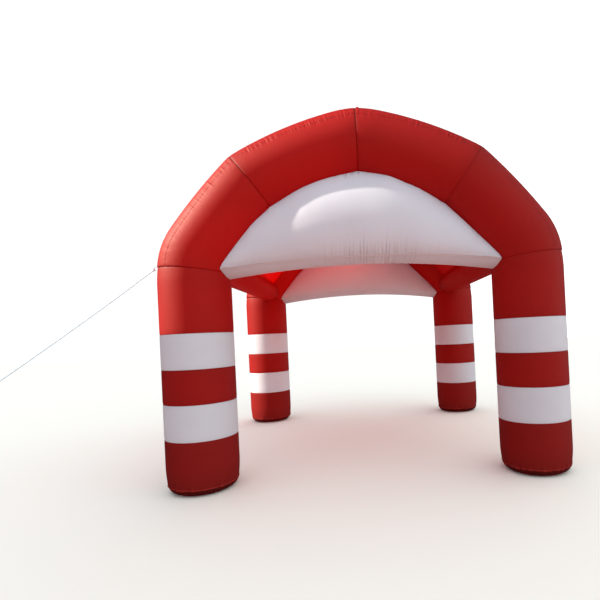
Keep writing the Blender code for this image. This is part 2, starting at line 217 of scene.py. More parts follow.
def noise(tree, place, grain):
    """Soft uneven grey over a surface, about one half on average."""
    node = tree.nodes.new("ShaderNodeTexNoise")
    node.inputs["Scale"].default_value, node.inputs["Detail"].default_value = grain
    tree.links.new(place, node.inputs["Vector"])
    return node.outputs["Fac"]


def from_mesh(tree, name):
    """A value that the mesh carries at its points."""
    node = tree.nodes.new("ShaderNodeAttribute")
    node.attribute_name = name
    return node.outputs["Fac"]


def parts_of(tree, vector):
    """The three parts of a place or a direction."""
    node = tree.nodes.new("ShaderNodeSeparateXYZ")
    tree.links.new(vector, node.inputs[0])
    return node.outputs


def new_material(name):
    """A material, its nodes and shader, the place on the object, and the ways round and along the piece."""
    material = bpy.data.materials.new(name)
    material.use_nodes = True
    tree = material.node_tree
    place = tree.nodes.new("ShaderNodeTexCoord")
    round_way, long_way, _ = parts_of(tree, place.outputs["UV"])
    return material, tree, tree.nodes["Principled BSDF"], place.outputs["Object"], round_way, long_way


def emboss(tree, shader, relief, unit):
    """Give a shader fine relief, as a height in units of so many metres."""
    bump = tree.nodes.new("ShaderNodeBump")
    bump.inputs["Distance"].default_value = unit
    link(tree, (relief, bump.inputs["Height"]), (bump.outputs["Normal"], shader.inputs["Normal"]))


def coated_cloth(name, colour, thin, painted_seam_tone, glow, thread_colour, sheen, dust_and_sole_shade=False, shade=None):
    """Satin polyester with a thin coat: weave, stitched seams and creases, painted shade in the seams' and
    the header's folds and under a foot's sole, painted highlights on the header's and the soles' seams, and
    light that shines through.
    """
    material, tree, shader, place, round_way, long_way = new_material(name)
    from_seam = from_mesh(tree, "from_seam")

    # Weave: threads that pass over and under each other by turns
    weft = sum_up(tree, "SINE", times(tree, round_way, math.pi / THREAD))
    warp = sum_up(tree, "SINE", times(tree, long_way, math.pi / THREAD))
    weave = times(tree, weft, warp)

    # Stitches: short dashes in two rows beside each seam
    rows = []
    for row in SEAM_ROWS:
        off = sum_up(tree, "ABSOLUTE", sum_up(tree, "SUBTRACT", from_seam, row))
        rows.append(sum_up(tree, "LESS_THAN", off, STITCH_WIDTH))
    dash = sum_up(tree, "LESS_THAN", sum_up(tree, "PINGPONG", round_way, STITCH / 2), STITCH * STITCH_SHARE)
    stitch = times(tree, sum_up(tree, "MAXIMUM", *rows), dash)

    # Colour: a slightly uneven dye, wear beside the seams, dust and painted shade under the sole on a foot,
    # painted shade in the header's folds, then each seam's painted tone and thread
    blotch = noise(tree, place, DYE_GRAIN)
    dark, light = (tuple(min(1.0, tint * c) for c in colour) for tint in DYE_RANGE)
    dyed = mix_colours(tree, blotch, dark, light)
    scuff = times(tree, fading(tree, from_seam, SCUFF_RUN), noise(tree, place, SCUFF_GRAIN))
    worn_and_shaded = mix_colours(tree, times(tree, scuff, SCUFF_SHARE), dyed, tuple(SCUFF_TINT * c for c in colour))
    if dust_and_sole_shade:
        height = parts_of(tree, place)[2]
        dust = times(tree, fading(tree, height, DUST_TOP), noise(tree, place, DUST_GRAIN))
        worn_and_shaded = mix_colours(tree, times(tree, dust, DUST_SHARE), worn_and_shaded, DUST)
        # Painted shade below the sole's seam, with a ragged upper edge
        ragged = sum_up(tree, "ADD", height, times(tree, noise(tree, place, SOLE_GRAIN), SOLE_RAGGED))
        under = sum_up(tree, "LESS_THAN", ragged, SOLE_SHADE_TOP)
        worn_and_shaded = mix_colours(tree, times(tree, under, SOLE_SHADE_SHARE), worn_and_shaded, SOLE_SHADE)
    # Painted shade in the depth of a fold
    if shade:
        deep = sum_up(tree, "POWER", from_mesh(tree, "fold"), CREASE_EDGE)
        worn_and_shaded = mix_colours(tree, sum_up(tree, "MULTIPLY", deep, CREASE_SHARE, clamp=True), worn_and_shaded, shade)
    # Painted shade in each seam's fold, where the doubled cloth also lets less light through; on the header's
    # bottom seam and a sole's seam the painted tone is a highlight instead
    fold = sum_up(tree, "POWER", fading(tree, from_seam, SEAM_FOLD), FOLD_EDGE)
    folded = mix_colours(tree, fold, worn_and_shaded, painted_seam_tone)
    sewn = mix_colours(tree, times(tree, stitch, STITCH_COVER), folded, thread_colour)
    link(tree, (sewn, shader.inputs["Base Color"]))

    # Relief: weave, thread, and ripples and rumples that run every way
    relief = sum_up(tree, "ADD", times(tree, weave, WEAVE_RELIEF), times(tree, stitch, STITCH_RELIEF))
    for grain, size in ((RIPPLE_GRAIN, RIPPLE_RELIEF), (RUMPLE_GRAIN, RUMPLE_RELIEF)):
        relief = sum_up(tree, "ADD", relief, times(tree, noise(tree, place, grain), size))
    emboss(tree, shader, relief, MILLIMETRE)

    least, most = CLOTH_ROUGHNESS
    link(tree, (sum_up(tree, "MULTIPLY_ADD", blotch, most - least, least), shader.inputs["Roughness"]))
    shader.inputs["Specular IOR Level"].default_value = CLOTH_SPECULAR
    shader.inputs["Specular Tint"].default_value = (*sheen, 1.0)
    through = tree.nodes.new("ShaderNodeBsdfTranslucent")
    through.inputs["Color"].default_value = (*glow, 1.0)
    both = tree.nodes.new("ShaderNodeMixShader")
    both.inputs[0].default_value = thin
    link(tree, (shader.outputs[0], both.inputs[1]), (through.outputs[0], both.inputs[2]),
         (both.outputs[0], tree.nodes["Material Output"].inputs["Surface"]))
    return material


def draw_in(away, depth, run):
    """How far cloth is drawn in at a distance from a seam: most at the seam, and nothing past the run."""
    return depth * max(0.0, 1.0 - away / run) ** 2


def puckers(name, count, depth, fade):
    """Small uneven folds square to a seam, which die out away from it."""
    draw = random.Random(name)
    waves = []
    for _ in range(PUCKER_WAVES):
        number = draw.randint(count // 2, count * 3 // 2)
        waves.append((number, draw.uniform(0.0, 2.0 * math.pi), draw.uniform(*PUCKER_SIZES)))

    def height(angle, away):
        if away > fade * PUCKER_END:
            return 0.0
        rise = sum(size * math.sin(number * angle + phase) for number, phase, size in waves)
        return depth * rise / PUCKER_PEAK * math.exp(-away / fade)

    return height


def even_run(low, high, rows):
    """Steps from low to high, closer together at both ends."""
    return [low + (high - low) * (1 - math.cos(math.pi * k / rows)) / 2 for k in range(rows + 1)]


def even_turns(sides):
    """Angles in even steps round a tube."""
    return [2.0 * math.pi * k / sides for k in range(sides)]


def end_seams(turn, run, left):
    """Distance from the nearer end of a panel, whose flat seam shows only faintly."""
    return min(run, left) + SEAM_FAINT


def new_cloth():
    """An empty mesh with its layout for the weave and the distance from a seam at each point."""
    bm = bmesh.new()
    return bm, bm.loops.layers.uv.new("cloth"), bm.verts.layers.float.new("from_seam")


def skin(bm, uv, rings, lay, closed=False):
    """Faces from ring to ring, laid out for the weave by a point, its number round and its ring's number."""
    following = rings[1:] + rings[:1] if closed else rings[1:]
    for j, (low, high) in enumerate(zip(rings, following)):
        for k in range(len(low)):
            n = (k + 1) % len(low)
            face = bm.faces.new((low[k], low[n], high[n], high[k]))
            for loop, spot in zip(face.loops, ((k, j), (k + 1, j), (k + 1, j + 1), (k, j + 1))):
                loop[uv].uv = lay(loop.vert, *spot)


def sew_tube(name, stations, detail, turns, across, depth, placed=None, away=end_seams):
    """A closed tube of cloth through stations, each a centre, an outward direction, a run and a radius.

    detail gives how far the cloth stands out at an angle, a run and the length that is left, placed where
    that angle really lies at a station, and away how far a point is from the nearest seam.
    """
    length = stations[-1][2]
    bm, uv, seam = new_cloth()
    rows = []
    for station in stations:
        centre, outward, run, radius = station
        row = []
        for turn in turns:
            angle = placed(turn, station) if placed else turn
            reach = radius + detail(turn, run, length - run)
            u, z = centre + outward * reach * math.cos(angle)
            y = -HALF_DEPTH - reach * math.sin(angle)
            vert = bm.verts.new((u * across, y * depth, z))
            vert[seam] = away(turn, run, length - run)
            row.append(vert)
        rows.append(row)
    spread = [TUBE_R * turn for turn in turns] + [TUBE_R * 2.0 * math.pi]
    skin(bm, uv, rows, lambda vert, k, j: (spread[k], stations[j][2]))
    bm.faces.new(rows[0][::-1])
    bm.faces.new(rows[-1])
    return finish_piece(name, bm)


def into_scene(thing):
    """Add an object to the scene."""
    bpy.context.scene.collection.objects.link(thing)


def finish_piece(name, bm, sharp=CLOTH_SHARP):
    """Put a mesh in the scene as a piece that rides on the tent and stands for the node of its name."""
    bmesh.ops.recalc_face_normals(bm, faces=bm.faces)
    mesh = bpy.data.meshes.new(name)
    bm.to_mesh(mesh)
    bm.free()
    mesh.shade_smooth()
    mesh.set_sharp_from_angle(angle=math.radians(sharp))
    piece = bpy.data.objects.new("cloth_" + name, mesh)
    into_scene(piece)
    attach(piece, "root")
    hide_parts(name)
    return piece


def finish_with(piece, material):
    """Give a piece its material."""
    piece.data.materials.append(material)


def upright(heights, inset=lambda z: 0.0):
    """Level stations round the front left leg, whose run is measured along its wall."""
    stations = []
    run = 0.0
    last = None
    for z in heights:
        spot = Vector((TUBE_R - inset(z), z))
        run += 0.0 if last is None else (spot - last).length
        last = spot
        stations.append((Vector((-HALF_SPAN, z)), Vector((-1.0, 0.0)), run, spot.x))
    return stations


def elbow(degrees):
    """Centre and direction of the axis at an angle into the bend above a leg."""
    bend = math.radians(degrees)
    centre = Vector((ELBOW_R - HALF_SPAN - ELBOW_R * math.cos(bend), ELBOW_FOOT + ELBOW_R * math.sin(bend)))
    return centre, Vector((math.sin(bend), math.cos(bend)))


def foot_inset(z):
    """How far the foot's wall lies inside the tube: it tapers to the seam, and the sole swells below that."""
    if z >= SOLE_SEAM:
        share = max(0.0, (FOOT_TAPER - z) / (FOOT_TAPER - SOLE_SEAM))
        return SOLE_SEAM_IN * share ** FOOT_CURVE
    drop = 1.0 - z / SOLE_SEAM
    return SOLE_SEAM_IN + (SOLE_IN - SOLE_SEAM_IN) * (1.0 - math.sqrt(max(0.0, 1.0 - drop * drop)))


def foot_stations(top):
    """Stations from the rim of the flat sole, round its edge and up the wall."""
    sole = [SOLE_SEAM * (1.0 - math.cos(math.pi / 2 * k / SOLE_ROWS)) for k in range(SOLE_ROWS + 1)]
    shares = [(k / WALL_ROWS) ** WALL_CURVE for k in range(1, WALL_ROWS + 1)]
    lower = [SOLE_SEAM + (FOOT_TAPER - SOLE_SEAM) * share for share in shares]
    upper = even_run(FOOT_TAPER, top, WALL_ROWS)[1:]
    return upright(sole + lower + upper, foot_inset)


SOLE_RUN = foot_stations(1.0)[SOLE_ROWS][2]     # from the sole's rim to its seam, along the cloth


def foot_detail(name):
    """Puckers at the seam round the sole and at the band above."""
    sole = puckers(name + "sole", *SOLE_PUCKERS)
    band = puckers(name, *BAND_PUCKERS)

    def detail(angle, run, left):
        if run < SOLE_RIM:
            return 0.0
        pressed = min(1.0, run / SOLE_RUN) ** 2
        rise = sole(angle, abs(run - SOLE_RUN)) * pressed + band(angle, left)
        return rise - draw_in(left, BAND_PINCH, BAND_RUN)

    return detail


def band_detail(name):
    """A seam at each end of a straight panel."""
    low = puckers(name + "low", *BAND_PUCKERS)
    high = puckers(name + "high", *BAND_PUCKERS)

    def detail(angle, run, left):
        drawn = draw_in(run, BAND_PINCH, BAND_RUN) + draw_in(left, BAND_PINCH, BAND_RUN)
        return low(angle, run) + high(angle, left) - drawn

    return detail


def groove_on(name):
    """Depth of the narrow fold at a cross seam, on the side of the tent that a piece's name gives."""
    return GROOVE_DEPTH * SIDE_GROOVE[name.split("_")[2]]


def top_detail(name):
    """A band seam below and the stronger ring seam above, which gathers the cloth."""
    low = puckers(name + "low", *BAND_PUCKERS)
    ring = puckers(name + "ring", *RING_PUCKERS)
    groove = groove_on(name)

    def detail(angle, run, left):
        drawn = draw_in(run, BAND_PINCH, BAND_RUN) + draw_in(left, RING_PINCH, RING_RUN)
        return low(angle, run) + ring(angle, left) - drawn - draw_in(left, groove, GROOVE_RUN)

    return detail


def top_stations(low):
    """Straight up the leg, then into the bend as far as the ring seam."""
    stations = upright(even_run(low, ELBOW_FOOT, LEG_ROWS))
    run = stations[-1][2]
    for k in range(1, RING_ROWS + 1):
        degrees = RING_SEAM * k / RING_ROWS
        centre, along = elbow(degrees)
        outward = Vector((-along.y, along.x))
        stations.append((centre, outward, run + ELBOW_R * math.radians(degrees), TUBE_R))
    return stations


def sole_seams(turn, run, left):
    """Distance from the seam round the sole, whose edge is the only one that shows on a foot."""
    return abs(run - SOLE_RUN)


def top_seams(across):
    """How to find the distance from the flat seam below or from the deep one at the ring."""
    return lambda turn, run, left: min(run + SEAM_FAINT, left + SIDE_FAINT[across])


red_cloth = coated_cloth("red_coated_cloth", RED, RED_THIN, RED_SEAM_SHADE, **RED_COAT)
shaded_red_foot_cloth = coated_cloth("shaded_red_foot_cloth", RED_FOOT_SHADED, FOOT_THIN, SOLE_SEAM_HIGHLIGHT, **RED_COAT, dust_and_sole_shade=True)
white_cloth = coated_cloth("white_coated_cloth", WHITE, WHITE_THIN, WHITE_SEAM_SHADE, **WHITE_COAT)

for end, depth in ends_of_tent.items():
    for side, across in sides_of_tent.items():
        leg = f"leg_{end}_{side}_"
        for part in ("foot", "band_low", "middle", "band_high", "top"):
            name = leg + part
            low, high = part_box(name)
            bottom, top = low.z, high.z
            if part == "foot":
                stations, detail = foot_stations(top), foot_detail(name)
            elif part == "top":
                stations, detail = top_stations(bottom), top_detail(name)
            else:
                stations, detail = upright(even_run(bottom, top, LEG_ROWS)), band_detail(name)
            away = {"top": top_seams(across), "foot": sole_seams}.get(part, end_seams)
            panel = sew_tube(name, stations, detail, even_turns(LEG_SIDES), across, depth, away=away)
            if part.startswith("band"):
                finish_with(panel, white_cloth)
            else:
                finish_with(panel, shaded_red_foot_cloth if part == "foot" else red_cloth)

# ---------------------------------------------------------------- arches
# Two arches of red tube, one at the front and one at the back, each sewn from two haunches and two crowns
# that meet in slanting seams. A strip of cloth runs along the outside of each tube, and it is gathered
# where it is sewn to the sides. A small tuck stands beside the seam at the top.

ELBOW_TURN = 37.0            # degrees that the bend above a leg turns through
HAUNCH_TOP = (1.115, 3.145)  # axis where haunch and crown meet, as span and height
APEX = 3.545                 # axis height at the middle of the arch
CROWN_BOW = 0.047            # how far a crown's axis bows up from its chord
LEAN_RUN = 0.30              # length over which the rings turn into a slanting seam
ARCH_STEP = 0.0060           # between stations
MITRE_PINCH = 0.009
MITRE_RUN = 0.110
STRIP_EDGE = 54.0            # degrees from the outside of the tube to the seam of the outer strip
STRIP_EDGES = (61.0, 54.0, 60.0)    # the same at the ring seam, at the slanting seam and at the top
HEADER_EDGE = 30.0           # degrees from the inside of the tube to the seam of the header
HEADER_DIPS = {              # for each half: how many of them fewer at the slanting seam, and the spans
    -1.0: (5.0, 0.45, 0.25),    # towards the top and towards the tip in which this happens
    1.0: (16.0, 0.45, 0.85),
}
HEADER_PEAK = 5.0            # how many of them fewer at the top
HEADER_PEAK_RUN = 0.55       # span on each side of the top in which this happens
HEADER_SLACK = 5.5           # how many of them fewer half way up the right side
HEADER_SLACK_AT = 0.68       # span from the middle of the tent at which this is
HEADER_SLACK_RUN = 0.32
HEADER_STARTS = {-1.0: 12.3, 1.0: 8.0}    # degrees into the bend at which the header's tips lie
TURN_STEP = 3.6              # degrees between two points round the tube
SEAM_TURNS = (-2.6, -1.3, -0.6, 0.0, 0.6, 1.3, 2.6)    # degrees from a long seam where extra points lie
SEAM_CLEAR = 3.38            # degrees from it in which there are no others
STRIP_GROOVE = 0.0030
STRIP_GROOVE_RUN = 0.007
GATHER_STEP = 0.016          # usual distance between two gathers
BIG_GATHER_STEP = 0.13
GATHERS = (                  # usual distance, depth, and the turns in which one dies out inside the strip
    (GATHER_STEP, 0.0052, (0.20, 0.75)),
    (BIG_GATHER_STEP, 0.0080, (0.5, 1.1)),
)
GATHER_SPACING = (0.55, 1.6)     # shares of the usual distance between them
GATHER_WIDTHS = (0.34, 0.52)     # shares of it, for half a gather
GATHER_SIZES = (0.3, 1.0)
GATHER_WAYS = (-0.7, 1.0)    # some stand in, a little less than the others stand out
GATHER_OUT = 0.16            # turn in which one dies out on the other side of the strip's seam
GATHER_CURVE = 1.3           # higher is a gather that sinks sooner on its way out
FOLD_SPREAD = 2.5            # half widths from a fold's middle at which nothing of it is left
GATHER_FADE = 0.06           # length in which they die out towards a cross seam
GATHER_LEFT = 0.35           # share of them left at that seam
GATHER_SHARES = {"left_haunch": 0.45, "left_crown": 0.70, "right_haunch": 0.35, "right_crown": 0.38}
MITRE_PUCKERS = (40, 0.0016, 0.035)
APEX_PUCKERS = (30, 0.0014, 0.030)
PINCH_MIDDLE = 0.6           # share of a slanting seam's pinch on the sides of the tube
PINCH_SWING = 0.4            # how much more of it on the inside of the bend
TOP_ROUNDING = 0.015         # how far the outside is let down at the top seam
TOP_ROUND_RUN = 0.18
STRIP_FAINT = {1.0: 0.0050, -1.0: 0.0062}    # how much of the painted shade at the strip's seam is hidden on the left and right
TUCK_RUN = 0.016             # from the top seam to the tuck
TUCK_SLANT = 1.6             # higher is a tuck that starts further from the seam
TUCK_HEIGHT = 0.010
TUCK_WIDTH = 0.010
TUCK_ANGLE = 52.0            # degrees from the tube's outermost line to its lower end
TUCK_FADES = (2.0, 3.0)      # how fast it dies out towards its lower and its upper end


def bowed(start, end, bow, t):
    """Centre and direction on a shallow arc between two points of the axis."""
    chord = end - start
    side = Vector((-chord.y, chord.x)).normalized()
    centre = start + chord * t + side * bow * 4 * t * (1 - t)
    along = chord + side * bow * 4 * (1 - 2 * t)
    return centre, along.normalized()


def lean_of(before, after):
    """How far a slanting seam leans along a tube for each unit out from its axis."""
    return math.tan(before.angle(after) / 2)


def with_leans(line, lean_start, lean_end):
    """Stations on a line of centres and directions, which turn into a slanting seam at each end."""
    stations = []
    run = 0.0
    length = sum((b[0] - a[0]).length for a, b in zip(line, line[1:]))
    for k, (centre, along) in enumerate(line):
        run += (centre - line[k - 1][0]).length if k else 0.0
        lean = draw_in(run, lean_start, LEAN_RUN) + draw_in(length - run, lean_end, LEAN_RUN)
        stations.append((centre, Vector((-along.y, along.x)) + along * lean, run, TUBE_R))
    return stations


def arch_line(start, end, bow, step):
    """Centres and directions from one point of the axis to the next."""
    steps = round((end - start).length / step)
    return [bowed(start, end, bow, k / steps) for k in range(steps + 1)]


def arch_stations(step):
    """The haunch and the crown of the left half of an arch."""
    turn = round(ELBOW_R * math.radians(ELBOW_TURN - RING_SEAM) / step)
    bend = [elbow(RING_SEAM + (ELBOW_TURN - RING_SEAM) * k / turn) for k in range(turn)]
    start = elbow(ELBOW_TURN)[0]
    top = Vector((-HAUNCH_TOP[0], HAUNCH_TOP[1]))
    apex = Vector((0.0, APEX))
    rise = math.atan2(top.y - start.y, top.x - start.x)
    bow = (top - start).length * math.tan(math.radians(90.0 - ELBOW_TURN) - rise) / 4
    haunch = bend + arch_line(start, top, bow, step)
    crown = arch_line(top, apex, CROWN_BOW, step)
    mitre = lean_of(haunch[-1][1], crown[0][1])
    last = crown[-1][1]
    middle = lean_of(last, Vector((last.x, -last.y)))
    return with_leans(haunch, 0.0, mitre), with_leans(crown, -mitre, middle)


def arch_turns():
    """Angles round an arch tube, closer together beside the seams of the outer strip and of the header."""
    seams = (STRIP_EDGE, 180.0 - HEADER_EDGE)
    half = [off + seam for seam in seams for off in SEAM_TURNS]
    for k in range(round(180.0 / TURN_STEP) + 1):
        turn = k * TURN_STEP
        if min(abs(turn - seam) for seam in seams) > SEAM_CLEAR:
            half.append(turn)
    half.sort()
    return [math.radians(turn) for turn in half + [360.0 - turn for turn in half[-2:0:-1]]]


def signed(turn):
    """An angle round the tube, counted both ways from its outermost line."""
    return turn if turn <= math.pi else turn - 2.0 * math.pi


def strip_edge(share, haunch):
    """Degrees to the outer strip's seam, at a share of the length of a haunch or a crown."""
    first, second = STRIP_EDGES[:2] if haunch else STRIP_EDGES[1:]
    return first + (second - first) * share


def header_edge(u):
    """Degrees from the tube's innermost line to the header's seam, at a place across the tent."""
    peak = max(0.0, 1.0 - (u / HEADER_PEAK_RUN) ** 2) ** 2
    fewer, upward, outward = HEADER_DIPS[math.copysign(1.0, u)]
    off = abs(u) - HAUNCH_TOP[0]
    dip = max(0.0, 1.0 - (off / (outward if off > 0 else upward)) ** 2) ** 2
    slack = max(0.0, 1.0 - ((u - HEADER_SLACK_AT) / HEADER_SLACK_RUN) ** 2) ** 2
    return HEADER_EDGE - HEADER_PEAK * peak - HEADER_SLACK * slack - fewer * dip


def long_seams(haunch, length, across):
    """Where the angles round a haunch or a crown really lie, and how far its points are from a seam."""
    strip_base, header_base = math.radians(STRIP_EDGE), math.radians(180.0 - HEADER_EDGE)
    tip = ELBOW_R * math.radians(HEADER_STARTS[-across] - RING_SEAM) if haunch else 0.0

    def placed(turn, station):
        size = abs(signed(turn))
        strip = math.radians(strip_edge(station[2] / length, haunch))
        header = math.radians(180.0 - header_edge(station[0].x * across))
        if size < strip_base:
            size *= strip / strip_base
        elif size < header_base:
            size = strip + (size - strip_base) * (header - strip) / (header_base - strip_base)
        else:
            size = header + (size - header_base) * (math.pi - header) / (math.pi - header_base)
        return math.copysign(size, signed(turn))

    def away(turn, run, left):
        size = abs(signed(turn))
        strip = abs(size - strip_base) * TUBE_R + STRIP_FAINT[across]
        header = math.hypot((size - header_base) * TUBE_R, max(0.0, tip - run))
        cross = min(run, left) + (SIDE_FAINT[across] if haunch or run < left else 0.0)
        return min(cross, strip, header)

    return placed, away


def gathers(name, length):
    """Folds that start at both edges of the outer strip, at uneven distances, depths and reaches."""
    draw = random.Random(name)
    strength = GATHER_SHARES[name.split("_", 2)[2]]
    folds = {1: [], -1: []}
    for edge in folds:
        for step, depth, reaches in GATHERS:
            run = 0.0
            while run < length:
                run += step * draw.uniform(*GATHER_SPACING)
                width = GATHER_STEP * draw.uniform(*GATHER_WIDTHS)
                fade = min(1.0, GATHER_LEFT + max(0.0, min(run, length - run)) / GATHER_FADE)
                size = strength * depth * draw.uniform(*GATHER_SIZES) * draw.choice(GATHER_WAYS) * fade
                folds[edge].append((run, width, size, draw.uniform(*reaches)))

    def height(angle, run):
        turned = signed(angle)
        edge = 1 if turned > 0 else -1
        inward = math.radians(STRIP_EDGE) - abs(turned)
        if inward <= -GATHER_OUT:
            return 0.0
        rise = 0.0
        for spot, width, size, reach in folds[edge]:
            off = (run - spot) / width
            if abs(off) < FOLD_SPREAD:
                near = inward / reach if inward > 0 else -inward / GATHER_OUT
                rise += size * math.exp(-off * off) * max(0.0, 1.0 - near) ** GATHER_CURVE
        return rise

    return height


def strip_seams(angle):
    """Narrow grooves where the outer strip is sewn to the sides of the tube."""
    off = (abs(signed(angle)) - math.radians(STRIP_EDGE)) * TUBE_R / STRIP_GROOVE_RUN
    return -STRIP_GROOVE * math.exp(-off * off)


def pinch_share(angle):
    """A slanting seam draws the cloth in most on the inside of the bend, and hardly on its taut outside."""
    return PINCH_MIDDLE - PINCH_SWING * math.cos(angle)


def haunch_detail(name, length):
    """The ring seam below, the slanting seam above, and the gathers between them."""
    gather = gathers(name, length)
    ring = puckers(name + "ring", *RING_PUCKERS)
    mitre = puckers(name + "mitre", *MITRE_PUCKERS)
    groove = groove_on(name)

    def detail(angle, run, left):
        drawn = draw_in(run, RING_PINCH, RING_RUN) + draw_in(left, MITRE_PINCH, MITRE_RUN)
        drawn = drawn * pinch_share(angle) + draw_in(min(run, left), groove, GROOVE_RUN)
        small = ring(angle, run) + mitre(angle, left)
        return gather(angle, run) + strip_seams(angle) + small - drawn

    return detail


def tuck(angle, left):
    """A pinch of spare cloth that stands beside the top seam, high up on the front of the tube."""
    turned = signed(angle)
    share = 1.0 - turned / math.radians(TUCK_ANGLE)
    if turned < 0.0 or share < 0.0:
        return 0.0
    off = (left - TUCK_RUN * (TUCK_SLANT - share)) / TUCK_WIDTH
    down, up = TUCK_FADES
    return TUCK_HEIGHT * min(1.0, down * share, up * turned) * math.exp(-off * off)


def crown_detail(name, length):
    """The slanting seam below, the top seam, the gathers between them, and the tuck on the right crowns."""
    gather = gathers(name, length)
    mitre = puckers(name + "mitre", *MITRE_PUCKERS)
    middle = puckers(name + "middle", *APEX_PUCKERS)
    tucked = name.endswith("right_crown")
    groove = groove_on(name)

    def detail(angle, run, left):
        drawn = draw_in(run, MITRE_PINCH, MITRE_RUN) + draw_in(left, MITRE_PINCH, MITRE_RUN)
        rounded = draw_in(left, TOP_ROUNDING, TOP_ROUND_RUN) * max(0.0, math.cos(angle))
        drawn = drawn * pinch_share(angle) + rounded
        drawn += draw_in(left, GROOVE_DEPTH, GROOVE_RUN) if left < run else draw_in(run, groove, GROOVE_RUN)
        small = mitre(angle, run) + middle(angle, left)
        pinch = tuck(angle, left) if tucked else 0.0
        return gather(angle, run) + strip_seams(angle) + small + pinch - drawn

    return detail


for end, depth in ends_of_tent.items():
    for side, across in sides_of_tent.items():
        haunch, crown = arch_stations(ARCH_STEP)
        for part, stations, make in (("haunch", haunch, haunch_detail), ("crown", crown, crown_detail)):
            name = f"arch_{end}_{side}_{part}"
            length = stations[-1][2]
            placed, away = long_seams(part == "haunch", length, across)
            tube = sew_tube(name, stations, make(name, length), arch_turns(), across, depth, placed, away)
            finish_with(tube, red_cloth)

# ---------------------------------------------------------------- side beams
# A level red tube on each side holds the two arches apart. Its ends are cut to the shape of the arches
# and sewn to them.

beam_low, beam_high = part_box("beam_left")
BEAM_R = (beam_high.z - beam_low.z) / 2
BEAM_SPAN = -(beam_high.x + beam_low.x) / 2
BEAM_HEIGHT = (beam_high.z + beam_low.z) / 2
BEAM_SEAT = 0.0012           # between the beam's end and the arch
BEAM_SIDES = 96
BEAM_ROWS = 60
BEAM_PINCH = 0.006           # how far its end seams draw it in
BEAM_RUN = 0.08
BEAM_PUCKERS = (22, 0.0016, 0.030)
BEAM_CAP = 0.5               # share of the radius at which its ends have one more ring


def off_axis(u, z):
    """Distance from an arch's axis, seen square to the arch, where a beam meets it."""
    if z < ELBOW_FOOT:
        return abs(u + HALF_SPAN)
    return abs(math.hypot(u + HALF_SPAN - ELBOW_R, z - ELBOW_FOOT) - ELBOW_R)


def beam_end(u, z):
    """How far from the middle of the tent a beam's end lies at a point of its section."""
    reach = TUBE_R + BEAM_SEAT
    return HALF_DEPTH - math.sqrt(reach * reach - off_axis(u, z) ** 2)


def beam_piece(name, across):
    """A tube that is pinched at both ends, with ends hollowed to fit round the arches."""
    bm, uv, seam = new_cloth()
    wave = puckers(name, *BEAM_PUCKERS)
    spread = even_run(-1.0, 1.0, BEAM_ROWS)
    rows = []
    for share, inner in [(-1.0, BEAM_CAP)] + [(t, 1.0) for t in spread] + [(1.0, BEAM_CAP)]:
        row = []
        for angle in even_turns(BEAM_SIDES):
            rim = beam_end(-BEAM_SPAN + BEAM_R * math.cos(angle), BEAM_HEIGHT + BEAM_R * math.sin(angle))
            away = rim * (1.0 - abs(share))
            radius = (BEAM_R - draw_in(away, BEAM_PINCH, BEAM_RUN) + wave(angle, away)) * inner
            u = -BEAM_SPAN + radius * math.cos(angle)
            z = BEAM_HEIGHT + radius * math.sin(angle)
            y = (rim if inner == 1.0 else beam_end(u, z)) * share
            vert = bm.verts.new((u * across, y, z))
            vert[seam] = away
            row.append(vert)
        rows.append(row)
    skin(bm, uv, rows, lambda vert, k, j: (BEAM_R * 2.0 * math.pi * k / BEAM_SIDES, vert.co.y))
    for row, share in ((rows[0], -1.0), (rows[-1], 1.0)):
        middle = bm.verts.new((-BEAM_SPAN * across, beam_end(-BEAM_SPAN, BEAM_HEIGHT) * share, BEAM_HEIGHT))
        for k in range(BEAM_SIDES):
            bm.faces.new((row[k], row[(k + 1) % BEAM_SIDES], middle))
    return finish_piece(name, bm)


for side, across in sides_of_tent.items():
    finish_with(beam_piece("beam_" + side, across), red_cloth)

# ---------------------------------------------------------------- headers
# A white pillow fills each arch from its underside down to a nearly straight seam. It has two faces and a
# strip along its bottom, all blown up tight. The faces pucker along the bottom seam, where the long edge
# of the cloth is eased on to the shorter strip.

HEADER_SEAT = 0.0006         # between header and arch
HEADER_RISE = 0.075          # how much higher the lower seam is at mid-span
HEADER_CROWN = 0.20          # how far its faces swell
HEADER_FULLNESS = 0.6        # lower is a boxier pillow
GUSSET_SAG = 0.055           # how far the bottom strip swells down at mid-span
GUSSET_END = 0.030           # how much further towards the ends
HEADER_ROWS = 38
GUSSET_ROWS = 14
GROOVE_ROWS = 6
HEADER_STEP = 0.0062         # between two columns of points
HEADER_SHARP = 62.0
HEADER_WELD = 0.0003         # distance under which two points become one
HEADER_EASE = 0.30           # span over which the arch's corners even out in the header's faces
HEADER_HOLD = 8              # higher keeps them evened out up to nearer the faces' upper edge
TIP_SAG = 0.15               # share of the strip's swell that is left at the very tips
TIP_RISE = 6.0               # how fast it comes back from there
HEADER_WHITE = (0.80, 0.86, 0.93)
